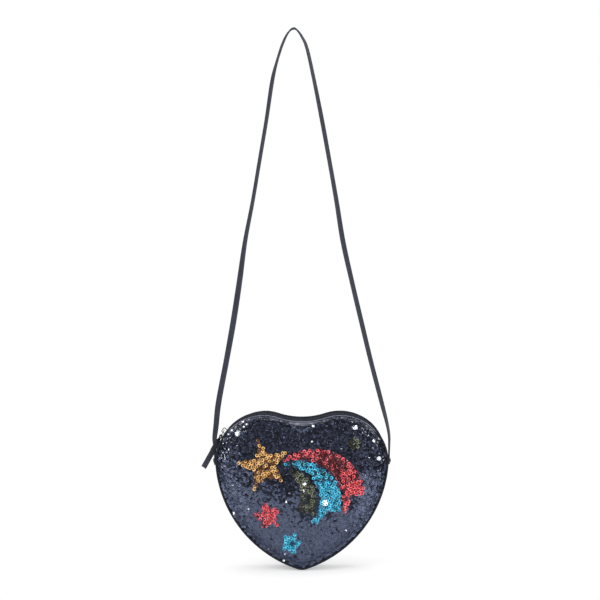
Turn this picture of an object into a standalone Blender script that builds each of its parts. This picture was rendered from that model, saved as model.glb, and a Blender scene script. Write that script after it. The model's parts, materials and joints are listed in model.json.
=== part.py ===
"""Heart-shaped crossbody bag with a sequinned front, a zipped top gusset and a narrow riveted strap.

Units are metres and +Z is up. The bag faces -Y. The origin is the hanging point, the underside of the
strap at its top. Bag pieces are modelled about the line through both strap rivets, on which they swing.
"""
import math

import bmesh
import bpy
from mathutils import Matrix, Vector

# Gap kept between pieces that touch
GAP = 0.0003

# Heart outline, the outermost line of the bag seen from the front
LOBE_RADIUS = 0.04925
LOBE_OFFSET = 0.0395
SIDE_RADIUS = 0.123
SIDE_START = math.radians(-5.5)
TIP_RADIUS = 0.0152
NOTCH_DEPTH = 0.00625
JOIN_ANGLE = math.radians(12)

# Depth of the bag
GUSSET_WIDTH = 0.0384
GUSSET_THICKNESS = 0.0012
PIPING_RADIUS = 0.0011
PIPING_MARGIN = 0.0001
LINING_THICKNESS = 0.0005
SKIN_THICKNESS = 0.0012
BOARD_THICKNESS = 0.0008
FRONT_PADDING_DEPTH = 0.0
BACK_PADDING_DEPTH = 0.0022

# Front panel in profile: how far its face stands out in front of the gusset's edge
FRONT_EDGE_RISE = 0.0017
RIM_CREST_RISE = 0.0032
RIM_CREST_INSET = 0.0042
GROOVE_RISE = 0.0018
GROOVE_INSET = 0.0060
SHOULDER_RISE = 0.0050
SHOULDER_INSET = 0.0120
FRONT_CROWN_RISE = 0.0078

# Back panel in profile: a soft edge and a flat middle
BACK_EDGE_RISE = 0.0017
BACK_FACE_RISE = 0.0036
BACK_FACE_INSET = 0.0100

# Middle that the inner rings of a panel close on
PANEL_CENTRE_Z = -0.012
INNER_RINGS = (0.72, 0.4)

# Zip in the top gusset
ZIP_SLOT_WIDTH = 0.0104
TEETH_WIDTH = 0.0022
TEETH_HEIGHT = 0.0022
TEETH_TOP_INSET = 0.00135
POST_WIDTH = 0.0008
TAPE_WIDTH = 0.0088
TAPE_THICKNESS = 0.00055
STOP_LENGTH = 0.0016
STOP_RISE = 0.0006
SLIDER_ANGLE = math.radians(143)
SLIDER_LENGTH = 0.0090
SLIDER_WIDTH = 0.0088
PLATE_THICKNESS = 0.0012
FLANGE_THICKNESS = 0.0012
BRIDGE_WIDTH = 0.0014
BRIDGE_LENGTH = 0.0056
BRIDGE_WIRE = 0.0009
BRIDGE_HEIGHT = 0.0031
BAR_RISE = 0.0019

# Zip pull: a wire ring and a folded leather tab
WIRE_RADIUS = 0.0005
RING_LENGTH = 0.0076
RING_TOP_WIDTH = 0.0050
RING_BOTTOM_WIDTH = 0.0070
RING_CORNER = 0.0010
TAB_WIDTH = 0.0057
TAB_LENGTH = 0.0385
TAB_FOLD_LENGTH = 0.0180
TAB_THICKNESS = 0.0009
TAB_PINCH = 0.0044
TAB_TWIST = math.radians(75)
TAB_NECK = 0.0125
NECK_STEPS = 7
EYE_WALL = 0.0007
PULL_SLOPE = math.radians(-118.9)
PULL_YAW = math.radians(25)

# Strap
STRAP_WIDTH = 0.0066
STRAP_THICKNESS = 0.0018
STRAP_DROP = 0.4464
BAG_SHIFT = 0.0089
STRAP_TAIL = 0.0050

# Strap rivets
RIVET_RADIUS = 0.0014
RIVET_HEAD_RADIUS = 0.0032
RIVET_HEAD_HEIGHT = 0.0016
WASHER_RADIUS = 0.0034
WASHER_THICKNESS = 0.0006
WASHER_GAP = 0.0005
RIVET_CLEARANCE = 0.0004
PATCH_LENGTH = 0.0170
PATCH_WIDTH = 0.0140

# Five-point stars: centre x, centre z, tip radius, waist radius, turn of the first tip
GOLD_STAR = (-0.0386, -0.0030, 0.0270, 0.0112, math.radians(103.5))
SMALL_OLIVE_STAR = (0.0539, 0.0186, 0.0088, 0.0046, math.radians(100))

# The two low stars have a share of the way down to the bag's tip in place of centre z
SMALL_RED_STAR = (-0.0350, 0.496, 0.0138, 0.0066, math.radians(104))
SMALL_CYAN_STAR = (-0.0113, 0.745, 0.0104, 0.0054, math.radians(69.5))

# Curved tails: head, outer tip, inner tip, bow of the outer edge, bow of the inner edge, depth of the fork
RED_TAIL = ((-0.0194, 0.0012), (0.0641, -0.0314), (0.0421, -0.0496), 0.0262, 0.0232, 0.0095)
CYAN_TAIL = ((-0.0184, -0.0022), (0.0386, -0.0497), (0.0121, -0.0609), 0.0222, 0.0206, 0.0080)
OLIVE_TAIL = ((-0.0143, -0.0072), (0.0106, -0.0545), (-0.0045, -0.0530), 0.0140, 0.0080, 0.0040)

# Steps along each arc of the outline
TIP_STEPS = 2
SIDE_STEPS = 8
LOBE_STEPS = 9
NOTCH_STEPS = 3

# Steps and sides of the smaller pieces
TAIL_STEPS = 7
PIPING_SIDES = 6
ROUND_SIDES = 16
DOME_STEPS = 2
SLIDER_STEPS = 3
WIRE_SIDES = 6
SOFT_ANGLE = math.radians(50)
SHARP_ANGLE = math.radians(35)

# Left leg of the strap upwards from its rivet, then the right leg downwards from the bend at the top:
# share of the way from the bend down to the rivet, sideways bow off that straight line, y, and the turn
# of the strap's face about its own length in degrees.
LEFT_LEG = (
    (0.9707, -0.0024, 0.0067, 6),
    (0.9527, -0.0047, 0.0088, 10),
    (0.9229, -0.0055, 0.0093, 28),
    (0.8669, -0.0073, 0.0091, 42),
    (0.7706, -0.0071, 0.0084, 46),
    (0.6781, -0.0072, 0.0074, 54),
    (0.5853, -0.0084, 0.0063, 46),
    (0.4928, -0.0101, 0.0052, 26),
    (0.4001, -0.0097, 0.0042, 18),
    (0.3073, -0.0102, 0.0032, 18),
    (0.2148, -0.0107, 0.0022, 18),
    (0.1221, -0.0120, 0.0012, 20),
    (0.0757, -0.0108, 0.0007, 12),
    (0.0341, -0.0081, 0.0003, 6),
    (0.0099, -0.0046, 0.0001, 2),
)
RIGHT_LEG = (
    (0.0054, 0.0040, 0.0000, 2),
    (0.0208, 0.0064, 0.0000, 6),
    (0.0466, 0.0088, 0.0000, 10),
    (0.1221, 0.0088, 0.0000, 17),
    (0.2148, 0.0078, 0.0000, 19),
    (0.3073, 0.0062, 0.0000, 16),
    (0.4001, 0.0043, 0.0000, 16),
    (0.4928, 0.0018, 0.0000, 24),
    (0.5853, 0.0018, 0.0000, 18),
    (0.6781, 0.0024, 0.0000, 20),
    (0.7706, 0.0032, 0.0000, 22),
    (0.8634, 0.0048, 0.0000, 17),
    (0.9189, 0.0056, 0.0000, 9),
    (0.9527, 0.0047, 0.0000, 4),
)
STRAP_STEP = 0.0075

# Colours as red, green, blue, then metallic and roughness
FINISHES = {
    "navy_sequins": ((0.020, 0.024, 0.055), 0.7, 0.25),
    "gold_sequins": ((0.70, 0.36, 0.10), 0.7, 0.25),
    "red_sequins": ((0.70, 0.05, 0.08), 0.5, 0.25),
    "cyan_sequins": ((0.05, 0.45, 0.68), 0.5, 0.25),
    "olive_sequins": ((0.10, 0.11, 0.06), 0.6, 0.25),
    "dark_leather": ((0.030, 0.031, 0.040), 0.0, 0.5),
    "lining_cloth": ((0.05, 0.05, 0.07), 0.0, 0.85),
    "foam": ((0.75, 0.74, 0.70), 0.0, 0.9),
    "board": ((0.45, 0.36, 0.25), 0.0, 0.9),
    "zip_tape": ((0.025, 0.026, 0.035), 0.0, 0.8),
    "zip_metal": ((0.42, 0.41, 0.38), 1.0, 0.35),
}


def clear_scene():
    """Remove every object that the open file holds."""
    for existing in list(bpy.data.objects):
        bpy.data.objects.remove(existing, do_unlink=True)


def finish_material(piece_name, finish):
    """Give each piece its own Principled material in one of the named finishes."""
    colour, metallic, roughness = FINISHES[finish]
    material = bpy.data.materials.new(piece_name + "_material")
    material.use_nodes = True
    shader = material.node_tree.nodes["Principled BSDF"]
    shader.inputs["Base Color"].default_value = (*colour, 1.0)
    shader.inputs["Metallic"].default_value = metallic
    shader.inputs["Roughness"].default_value = roughness
    return material


def add_object(name, mesh, parent=None):
    """Put a mesh in the scene as an object at its parent's origin."""
    placed = bpy.data.objects.new(name, mesh)
    bpy.context.scene.collection.objects.link(placed)
    placed.parent = parent
    return placed


def mesh_from(name, points, faces, smooth_angle=None):
    """Make a closed mesh whose faces point outwards."""
    mesh = bpy.data.meshes.new(name)
    mesh.from_pydata([tuple(point) for point in points], [], faces)
    work = bmesh.new()
    work.from_mesh(mesh)
    bmesh.ops.recalc_face_normals(work, faces=work.faces)
    work.to_mesh(mesh)
    work.free()
    if smooth_angle is not None:
        mesh.shade_smooth()
        mesh.set_sharp_from_angle(angle=smooth_angle)
    return mesh


def loft(sections, closed=False):
    """Join rings of points into a tube: a closed loop, or a bar with a face on each end."""
    count = len(sections[0])
    points = [point for section in sections for point in section]
    faces = []
    spans = len(sections) if closed else len(sections) - 1
    for index in range(spans):
        here = index * count
        there = ((index + 1) % len(sections)) * count
        for side in range(count):
            follow = (side + 1) % count
            faces.append((here + side, here + follow, there + follow, there + side))
    if not closed:
        faces.append(tuple(reversed(range(count))))
        faces.append(tuple(range(len(points) - count, len(points))))
    return points, faces


def piece(name, points, faces, finish, parent, smooth_angle=None):
    """Make one named piece of the bag."""
    placed = add_object(name, mesh_from(name, points, faces, smooth_angle), parent)
    placed.data.materials.append(finish_material(name, finish))
    return placed


def axis_empty(name, location, parent=None):
    """Mark a joint axis with an empty that the moving pieces hang on."""
    empty = add_object(name, None, parent)
    empty.location = location
    return empty


def cutter(name, points, faces, parent):
    """Make a hidden shape that other pieces are cut with."""
    shape = add_object(name, mesh_from(name, points, faces), parent)
    shape.hide_render = True
    shape.display_type = "WIRE"
    return shape


def boolean(target, tool, operation="DIFFERENCE"):
    """Cut, keep or join a piece with another shape."""
    modifier = target.modifiers.new(operation.title() + " " + tool.name, "BOOLEAN")
    modifier.operation = operation
    modifier.solver = "EXACT"
    modifier.object = tool


# The heart outline

def outline_arcs():
    """Arcs of the right half from the tip up to the notch: centre, radius, first and last angle, convex."""
    reach = SIDE_RADIUS - LOBE_RADIUS
    side_x = LOBE_OFFSET - reach * math.cos(SIDE_START)
    side_z = -reach * math.sin(SIDE_START)
    tip_z = side_z - math.sqrt((SIDE_RADIUS - TIP_RADIUS) ** 2 - side_x ** 2)
    tip_turn = math.atan2(tip_z - side_z, -side_x)
    notch_z = LOBE_RADIUS - NOTCH_DEPTH
    notch_radius = (notch_z ** 2 + LOBE_OFFSET ** 2 - LOBE_RADIUS ** 2) / (2 * NOTCH_DEPTH)
    notch_centre = notch_z + notch_radius
    notch_turn = math.atan2(notch_centre, -LOBE_OFFSET)
    return {
        "tip": ((0.0, tip_z), TIP_RADIUS, -math.pi / 2, tip_turn, True),
        "side": ((side_x, side_z), SIDE_RADIUS, tip_turn, SIDE_START, True),
        "lobe": ((LOBE_OFFSET, 0.0), LOBE_RADIUS, SIDE_START, notch_turn, True),
        "notch": ((0.0, notch_centre), notch_radius, notch_turn - math.pi, -math.pi / 2, False),
    }


ARCS = outline_arcs()


def arc_stations(arc, first, last, steps):
    """Evenly spaced places along an arc, the first one included and the last one left out."""
    centre, radius, _, _, convex = ARCS[arc]
    return [(centre, radius, first + (last - first) * step / steps, convex) for step in range(steps)]


def station_point(station, inset):
    """Point of the outline at a station, moved in by inset."""
    (centre_x, centre_z), radius, angle, convex = station
    reach = radius - inset if convex else radius + inset
    return (centre_x + reach * math.cos(angle), centre_z + reach * math.sin(angle))


def mirrored(station):
    """The same station on the left half."""
    (centre_x, centre_z), radius, angle, convex = station
    return ((-centre_x, centre_z), radius, math.pi - angle, convex)


def half_outline():
    """Stations of the right half, from the bottom of the tip to the bottom of the notch."""
    _, _, tip_first, tip_last, _ = ARCS["tip"]
    _, _, _, side_last, _ = ARCS["side"]
    _, _, _, lobe_last, _ = ARCS["lobe"]
    centre, radius, notch_first, notch_last, convex = ARCS["notch"]
    stations = arc_stations("tip", tip_first, tip_last, TIP_STEPS)
    stations += arc_stations("side", tip_last, side_last, SIDE_STEPS)
    stations += arc_stations("lobe", side_last, lobe_last, LOBE_STEPS)
    stations += arc_stations("notch", notch_first, notch_last, NOTCH_STEPS)
    stations.append((centre, radius, notch_last, convex))
    return stations


def whole_outline():
    """Stations all the way round, each corner once."""
    right = half_outline()
    left = [mirrored(station) for station in reversed(right[1:-1])]
    return right + left


def lower_path():
    """Stations of the lower gusset, from the left join round the tip to the right join."""
    _, _, tip_first, tip_last, _ = ARCS["tip"]
    centre, radius, side_last, _, convex = ARCS["lobe"]
    right = arc_stations("tip", tip_first, tip_last, TIP_STEPS)
    right += arc_stations("side", tip_last, side_last, SIDE_STEPS)
    right += arc_stations("lobe", side_last, JOIN_ANGLE, 2)
    right.append((centre, radius, JOIN_ANGLE, convex))
    return [mirrored(station) for station in reversed(right[1:])] + right


def upper_path(start_angle):
    """Stations over the top, from an angle on the right lobe across the notch to the left lobe."""
    _, _, _, lobe_last, _ = ARCS["lobe"]
    centre, radius, notch_first, notch_last, convex = ARCS["notch"]
    right = arc_stations("lobe", start_angle, lobe_last, LOBE_STEPS)
    right += arc_stations("notch", notch_first, notch_last, NOTCH_STEPS)
    right.append((centre, radius, notch_last, convex))
    return right + [mirrored(station) for station in reversed(right[:-1])]


def lobe_path(first, last, steps=2):
    """Stations of a short stretch of the right lobe, both ends included."""
    centre, radius, _, _, convex = ARCS["lobe"]
    return arc_stations("lobe", first, last, steps) + [(centre, radius, last, convex)]


def band_sections(stations, corners):
    """Cross-sections of a strip that follows the outline; each corner is its inset and its y."""
    sections = []
    for station in stations:
        ring = []
        for inset, y in corners:
            x, z = station_point(station, inset)
            ring.append((x, y, z))
        sections.append(ring)
    return sections


def box_corners(inset_out, inset_in, y_first, y_last):
    """Rectangular cross-section for a strip."""
    return [(inset_out, y_first), (inset_out, y_last), (inset_in, y_last), (inset_in, y_first)]


def strip(name, stations, corners, finish, parent, closed=False, smooth_angle=None):
    """A piece with one cross-section all along its path."""
    points, faces = loft(band_sections(stations, corners), closed)
    return piece(name, points, faces, finish, parent, smooth_angle)


# Levels worked out from the driving sizes

GUSSET_EDGE = GUSSET_WIDTH / 2
PIPING_INSET = PIPING_RADIUS + PIPING_MARGIN
GUSSET_INSET = PIPING_INSET
GUSSET_INNER = GUSSET_INSET + GUSSET_THICKNESS
LINING_INSET = GUSSET_INNER + GAP
LINING_INNER = LINING_INSET + LINING_THICKNESS
PANEL_INSET = PIPING_INSET + PIPING_RADIUS + GAP
INNER_PANEL_INSET = LINING_INNER + GAP
FRONT_PADDING_EDGE = GUSSET_EDGE - FRONT_PADDING_DEPTH
BACK_PADDING_EDGE = GUSSET_EDGE - BACK_PADDING_DEPTH
HALF_WIDTH = LOBE_OFFSET + LOBE_RADIUS
TIP_DEPTH = TIP_RADIUS - ARCS["tip"][0][1]
STRAP_INNER_X = HALF_WIDTH + GAP
STRAP_CENTRE_X = STRAP_INNER_X + STRAP_THICKNESS / 2
HINGE_Z = STRAP_THICKNESS / 2 - STRAP_DROP
TEETH_GAP = POST_WIDTH + 2 * GAP
TEETH_EDGE = TEETH_GAP / 2 + TEETH_WIDTH
TEETH_BOTTOM_INSET = TEETH_TOP_INSET + TEETH_HEIGHT
TAPE_INSET = GUSSET_INNER + GAP
FACING_EDGE = ZIP_SLOT_WIDTH / 2
SLIDER_REACH = SLIDER_LENGTH / 2 / LOBE_RADIUS
PLATE_TOP = LOBE_RADIUS - TEETH_TOP_INSET + GAP + PLATE_THICKNESS


# Panels

def offset_ring(inset, y):
    """The outline moved in by inset, at depth y."""
    ring = []
    for station in whole_outline():
        x, z = station_point(station, inset)
        ring.append((x, y, z))
    return ring


def shrunk_ring(ring, share, y):
    """A ring drawn in towards the panel's middle."""
    drawn = []
    for x, _, z in ring:
        drawn.append((x * share, y, PANEL_CENTRE_Z + (z - PANEL_CENTRE_Z) * share))
    return drawn


def front_profile():
    """Inset and rise of each ring of the front face: edge, rolled rim, stitched groove and shoulder."""
    half_rise = (RIM_CREST_RISE + GROOVE_RISE) / 2
    half_inset = (RIM_CREST_INSET + GROOVE_INSET) / 2
    start = (PANEL_INSET + RIM_CREST_INSET) / 2
    lift = (GROOVE_RISE + SHOULDER_RISE) / 2
    lift_inset = GROOVE_INSET + (SHOULDER_INSET - GROOVE_INSET) / 3
    return [
        (PANEL_INSET, FRONT_EDGE_RISE),
        (start, (FRONT_EDGE_RISE + 2 * RIM_CREST_RISE) / 3),
        (RIM_CREST_INSET, RIM_CREST_RISE),
        (half_inset, half_rise),
        (GROOVE_INSET, GROOVE_RISE),
        (lift_inset, lift),
        (SHOULDER_INSET, SHOULDER_RISE),
    ]


def back_profile():
    """Inset and rise of each ring of the back face: edge, soft corner and flat middle."""
    corner_inset = (PANEL_INSET + BACK_FACE_INSET) / 2
    corner_rise = (BACK_EDGE_RISE + 3 * BACK_FACE_RISE) / 4
    return [(PANEL_INSET, BACK_EDGE_RISE), (corner_inset, corner_rise), (BACK_FACE_INSET, BACK_FACE_RISE)]


def rise_at(profile, inset):
    """Rise of a face at an inset, read between the rings of its profile."""
    for (inset_a, rise_a), (inset_b, rise_b) in zip(profile, profile[1:]):
        if inset <= inset_b:
            return rise_a + (rise_b - rise_a) * max(0.0, inset - inset_a) / (inset_b - inset_a)
    return profile[-1][1]


def front_surface(insets, sink):
    """Rings of the domed front face and its middle point; sink moves it back into the panel."""
    profile = front_profile()
    rings = [offset_ring(inset, -(GUSSET_EDGE + rise_at(profile, inset) - sink)) for inset in insets]
    shoulder = rings[-1]
    for share in INNER_RINGS:
        rise = SHOULDER_RISE + (FRONT_CROWN_RISE - SHOULDER_RISE) * (1 - share ** 2)
        rings.append(shrunk_ring(shoulder, share, -(GUSSET_EDGE + rise - sink)))
    middle = (0.0, -(GUSSET_EDGE + FRONT_CROWN_RISE - sink), PANEL_CENTRE_Z)
    return rings, middle


def closed_panel(outer_rings, outer_middle, inner_rings, inner_middle):
    """Close two domed faces into one solid along their outermost rings."""
    rings = list(reversed(inner_rings)) + outer_rings
    count = len(rings[0])
    points, faces = loft(rings)
    faces = faces[:-2]
    points = points + [inner_middle, outer_middle]
    first_middle = len(points) - 2
    last_middle = len(points) - 1
    last_start = (len(rings) - 1) * count
    for side in range(count):
        follow = (side + 1) % count
        faces.append((first_middle, follow, side))
        faces.append((last_middle, last_start + side, last_start + follow))
    return points, faces


def sequin_skin():
    """The whole sequinned face as one shell, before the figures are cut out of it."""
    insets = [inset for inset, _ in front_profile()]
    outer, outer_middle = front_surface(insets, 0.0)
    inner, inner_middle = front_surface(insets, SKIN_THICKNESS)
    return closed_panel(outer, outer_middle, inner, inner_middle)


def star_outline(star):
    """Five tips and five waists."""
    centre_x, centre_z, tip_radius, waist_radius, turn = star
    corners = []
    for index in range(10):
        radius = tip_radius if index % 2 == 0 else waist_radius
        angle = turn + index * math.pi / 5
        corners.append((centre_x + radius * math.cos(angle), centre_z + radius * math.sin(angle)))
    return corners


def low_star_outline(star):
    """A star whose height follows the tip of the bag."""
    centre_x, share, tip_radius, waist_radius, turn = star
    return star_outline((centre_x, -share * TIP_DEPTH, tip_radius, waist_radius, turn))


def bowed_edge(start, end, bow):
    """Points along a circular arc from start to end that bows to the left of that direction."""
    start, end = Vector(start), Vector(end)
    chord = end - start
    half = chord.length / 2
    radius = (half * half + bow * bow) / (2 * bow)
    sideways = Vector((-chord.y, chord.x)).normalized()
    centre = (start + end) / 2 - sideways * (radius - bow)
    sweep = -2 * math.atan2(half, radius - bow)
    points = []
    for step in range(TAIL_STEPS + 1):
        turn = Matrix.Rotation(sweep * step / TAIL_STEPS, 2)
        points.append(tuple(centre + turn @ (start - centre)))
    return points


def tail_outline(tail):
    """A curved tail between two bowed edges that ends in a fork."""
    head, outer_tip, inner_tip, outer_bow, inner_bow, fork = tail
    outer = bowed_edge(head, outer_tip, outer_bow)
    inner = bowed_edge(head, inner_tip, inner_bow)
    across = Vector(inner_tip) - Vector(outer_tip)
    inwards = Vector((across.y, -across.x)).normalized()
    notch = (Vector(outer_tip) + Vector(inner_tip)) / 2 + inwards * fork
    return outer + [tuple(notch)] + list(reversed(inner[1:]))


def offset_polygon(corners, distance):
    """Move every side of a polygon outwards by distance, or inwards where it is negative."""
    area = 0.0
    for (x_a, z_a), (x_b, z_b) in zip(corners, corners[1:] + corners[:1]):
        area += x_a * z_b - x_b * z_a
    sign = 1.0 if area > 0 else -1.0
    moved = []
    for index, corner in enumerate(corners):
        before = (Vector(corner) - Vector(corners[index - 1])).normalized()
        after = (Vector(corners[(index + 1) % len(corners)]) - Vector(corner)).normalized()
        out_before = Vector((before.y, -before.x)) * sign
        out_after = Vector((after.y, -after.x)) * sign
        bisector = (out_before + out_after).normalized()
        reach = distance / max(0.25, bisector.dot(out_before))
        moved.append(tuple(Vector(corner) + bisector * reach))
    return moved


def prism(corners, y_first, y_last):
    """Extrude a polygon drawn in x and z between two depths."""
    return loft([[(x, y_first, z) for x, z in corners], [(x, y_last, z) for x, z in corners]])


def make_front(bag):
    """The sequinned face, with each figure as its own inlaid patch of sequins."""
    figures = {
        "gold_star_sequins": (star_outline(GOLD_STAR), "gold_sequins"),
        "small_red_star_sequins": (low_star_outline(SMALL_RED_STAR), "red_sequins"),
        "small_cyan_star_sequins": (low_star_outline(SMALL_CYAN_STAR), "cyan_sequins"),
        "small_olive_star_sequins": (star_outline(SMALL_OLIVE_STAR), "olive_sequins"),
        "red_tail_sequins": (tail_outline(RED_TAIL), "red_sequins"),
        "cyan_tail_sequins": (tail_outline(CYAN_TAIL), "cyan_sequins"),
        "olive_tail_sequins": (tail_outline(OLIVE_TAIL), "olive_sequins"),
    }
    points, faces = sequin_skin()
    field = piece("front_sequin_panel", points, faces, "navy_sequins", bag, SOFT_ANGLE)
    front = -(GUSSET_EDGE + FRONT_CROWN_RISE + SKIN_THICKNESS)
    back = -GUSSET_EDGE + SKIN_THICKNESS
    for name, (corners, finish) in figures.items():
        figure = piece(name, points, faces, finish, bag, SOFT_ANGLE)
        inside = cutter(name + "_shape", *prism(offset_polygon(corners, -GAP / 2), front, back), bag)
        window = cutter(name + "_window", *prism(offset_polygon(corners, GAP / 2), front, back), bag)
        boolean(figure, inside, "INTERSECT")
        boolean(field, window)


def sheet(name, inset, y_first, y_last, finish, bag):
    """A flat heart-shaped sheet."""
    points, faces = loft([offset_ring(inset, y_first), offset_ring(inset, y_last)])
    return piece(name, points, faces, finish, bag)


def make_front_filling(bag):
    """Padding behind the sequins and the lining behind the padding."""
    insets = [INNER_PANEL_INSET, RIM_CREST_INSET, GROOVE_INSET, SHOULDER_INSET]
    outer, outer_middle = front_surface(insets, SKIN_THICKNESS + GAP)
    points, faces = loft([offset_ring(INNER_PANEL_INSET, -FRONT_PADDING_EDGE)] + outer)
    count = len(outer[0])
    faces.pop()
    points.append(outer_middle)
    last_start = len(points) - 1 - count
    for side in range(count):
        faces.append((len(points) - 1, last_start + side, last_start + (side + 1) % count))
    piece("front_padding", points, faces, "foam", bag, SOFT_ANGLE)
    lining_front = -(FRONT_PADDING_EDGE - GAP)
    lining_back = lining_front + LINING_THICKNESS
    sheet("front_lining", INNER_PANEL_INSET, lining_front, lining_back, "lining_cloth", bag)


def make_back(bag):
    """The plain back: a leather panel with a flat middle over padding, a stiff board and a lining."""
    profile = back_profile()
    outer = [offset_ring(inset, GUSSET_EDGE + rise) for inset, rise in profile]
    inner = [offset_ring(inset, GUSSET_EDGE + rise - SKIN_THICKNESS) for inset, rise in profile]
    points, faces = loft(list(reversed(inner)) + outer)
    piece("back_panel", points, faces, "dark_leather", bag, SOFT_ANGLE)
    sunk = SKIN_THICKNESS + GAP
    insets = [INNER_PANEL_INSET] + [inset for inset, _ in profile[1:]]
    rings = [offset_ring(INNER_PANEL_INSET, BACK_PADDING_EDGE)]
    rings += [offset_ring(inset, GUSSET_EDGE + rise_at(profile, inset) - sunk) for inset in insets]
    points, faces = loft(rings)
    piece("back_padding", points, faces, "foam", bag, SOFT_ANGLE)
    board_back = BACK_PADDING_EDGE - GAP
    board_front = board_back - BOARD_THICKNESS
    sheet("back_board", INNER_PANEL_INSET, board_front, board_back, "board", bag)
    lining_back = board_front - GAP
    sheet("back_lining", INNER_PANEL_INSET, lining_back - LINING_THICKNESS, lining_back, "lining_cloth", bag)


def piping_corners(side):
    """Round cross-section of a piping on the front (-1) or the back (1)."""
    centre_y = side * (GUSSET_EDGE + GAP + PIPING_RADIUS)
    corners = []
    for index in range(PIPING_SIDES):
        angle = 2 * math.pi * index / PIPING_SIDES
        inset = PIPING_INSET - PIPING_RADIUS * math.cos(angle)
        corners.append((inset, centre_y + PIPING_RADIUS * math.sin(angle)))
    return corners


def make_piping(bag):
    """The corded edge that runs right round each panel."""
    for name, side in (("front_piping", -1), ("back_piping", 1)):
        strip(name, whole_outline(), piping_corners(side), "dark_leather", bag, True, SOFT_ANGLE)


def x_cylinder(name, radius, side, parent):
    """A cutter along the axis through the rivets, on the left (-1) or the right (1)."""
    rings = []
    for x in (HALF_WIDTH - 0.01, HALF_WIDTH + 0.01):
        rings.append([(side * x, radius * math.cos(angle), radius * math.sin(angle))
                      for angle in round_angles(ROUND_SIDES)])
    return cutter(name, *loft(rings), parent)


def round_angles(sides):
    """Evenly spaced angles of a full turn."""
    return [2 * math.pi * index / sides for index in range(sides)]


def make_gusset(bag):
    """The lower gusset and its lining, both holed for the rivets, and the leather patches under the strap."""
    band = box_corners(GUSSET_INSET, GUSSET_INNER, -GUSSET_EDGE, GUSSET_EDGE)
    gusset = strip("lower_gusset", lower_path(), band, "dark_leather", bag, False, SOFT_ANGLE)
    lining_edge = GUSSET_EDGE - LINING_THICKNESS
    band = box_corners(LINING_INSET, LINING_INNER, -lining_edge, lining_edge)
    lining = strip("gusset_lining", lower_path(), band, "lining_cloth", bag, False, SOFT_ANGLE)
    patch_turn = PATCH_LENGTH / 2 / LOBE_RADIUS
    for name, side in (("left", -1), ("right", 1)):
        stations = lobe_path(-patch_turn, patch_turn, 4)
        if side < 0:
            stations = [mirrored(station) for station in stations]
        band = box_corners(0.0, GUSSET_INSET - GAP, -PATCH_WIDTH / 2, PATCH_WIDTH / 2)
        patch = strip("anchor_patch_" + name, stations, band, "dark_leather", bag, False, SOFT_ANGLE)
        hole = x_cylinder("rivet_hole_" + name, RIVET_RADIUS + GAP, side, bag)
        for holed in (gusset, lining, patch):
            boolean(holed, hole)


def make_rivets(bag):
    """Each strap rivet: an inner washer, a shank and a domed head, turned as one."""
    washer_outer = HALF_WIDTH - LINING_INNER - WASHER_GAP
    head_base = STRAP_INNER_X + STRAP_THICKNESS + GAP
    profile = [
        (washer_outer - WASHER_THICKNESS, WASHER_RADIUS),
        (washer_outer, WASHER_RADIUS),
        (washer_outer, RIVET_RADIUS),
        (head_base, RIVET_RADIUS),
        (head_base, RIVET_HEAD_RADIUS),
    ]
    for step in range(1, DOME_STEPS + 1):
        angle = math.pi / 2 * step / (DOME_STEPS + 1)
        reach = RIVET_HEAD_RADIUS * math.cos(angle)
        profile.append((head_base + RIVET_HEAD_HEIGHT * math.sin(angle), reach))
    for name, side in (("left", -1), ("right", 1)):
        rings = []
        for x, radius in profile:
            rings.append([(side * x, radius * math.cos(angle), radius * math.sin(angle))
                          for angle in round_angles(ROUND_SIDES)])
        points, faces = loft(rings)
        piece("strap_rivet_" + name, points, faces, "zip_metal", bag, SHARP_ANGLE)


def make_zip(bag):
    """The upper gusset: two leather facings, two tapes, two rows of teeth, the stops and the end patches."""
    join = JOIN_ANGLE + GAP / LOBE_RADIUS
    teeth_end = math.pi - SLIDER_ANGLE - SLIDER_REACH - 2 * GAP / LOBE_RADIUS
    stop_end = teeth_end - (GAP + STOP_LENGTH) / LOBE_RADIUS
    patch_end = stop_end - GAP / LOBE_RADIUS
    for name, side in (("front", -1), ("back", 1)):
        facing = box_corners(GUSSET_INSET, GUSSET_INNER, side * GUSSET_EDGE, side * FACING_EDGE)
        strip("zip_facing_" + name, upper_path(join), facing, "dark_leather", bag, False, SOFT_ANGLE)
        tape_edge = TEETH_EDGE + GAP
        tape_inner = TAPE_INSET + TAPE_THICKNESS
        tape = box_corners(TAPE_INSET, tape_inner, side * tape_edge, side * (tape_edge + TAPE_WIDTH))
        strip("zip_tape_" + name, upper_path(join), tape, "zip_tape", bag, False, SOFT_ANGLE)
        teeth = box_corners(TEETH_TOP_INSET, TEETH_BOTTOM_INSET, side * TEETH_GAP / 2, side * TEETH_EDGE)
        strip("zip_teeth_" + name, upper_path(teeth_end), teeth, "zip_metal", bag, False, SOFT_ANGLE)
    stop = box_corners(TEETH_TOP_INSET - STOP_RISE, TEETH_BOTTOM_INSET, -TEETH_EDGE, TEETH_EDGE)
    patch_edge = FACING_EDGE - GAP
    patch = box_corners(GUSSET_INSET, GUSSET_INNER, -patch_edge, patch_edge)
    for name, mirror in (("left", True), ("right", False)):
        stop_path = lobe_path(stop_end, teeth_end - GAP / LOBE_RADIUS)
        patch_path = lobe_path(join, patch_end, 4)
        if mirror:
            stop_path = [mirrored(station) for station in stop_path]
            patch_path = [mirrored(station) for station in patch_path]
        strip("zip_stop_" + name, stop_path, stop, "zip_metal", bag)
        strip("zip_end_patch_" + name, patch_path, patch, "dark_leather", bag, False, SOFT_ANGLE)


def slider_frame(along, rise):
    """Point at a distance along the slider and a height over its plate, seen from the lobe's centre."""
    radius = PLATE_TOP + rise
    out = Vector((math.cos(SLIDER_ANGLE), math.sin(SLIDER_ANGLE)))
    ahead = Vector((out.y, -out.x))
    return tuple(out * radius + ahead * along)


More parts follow.
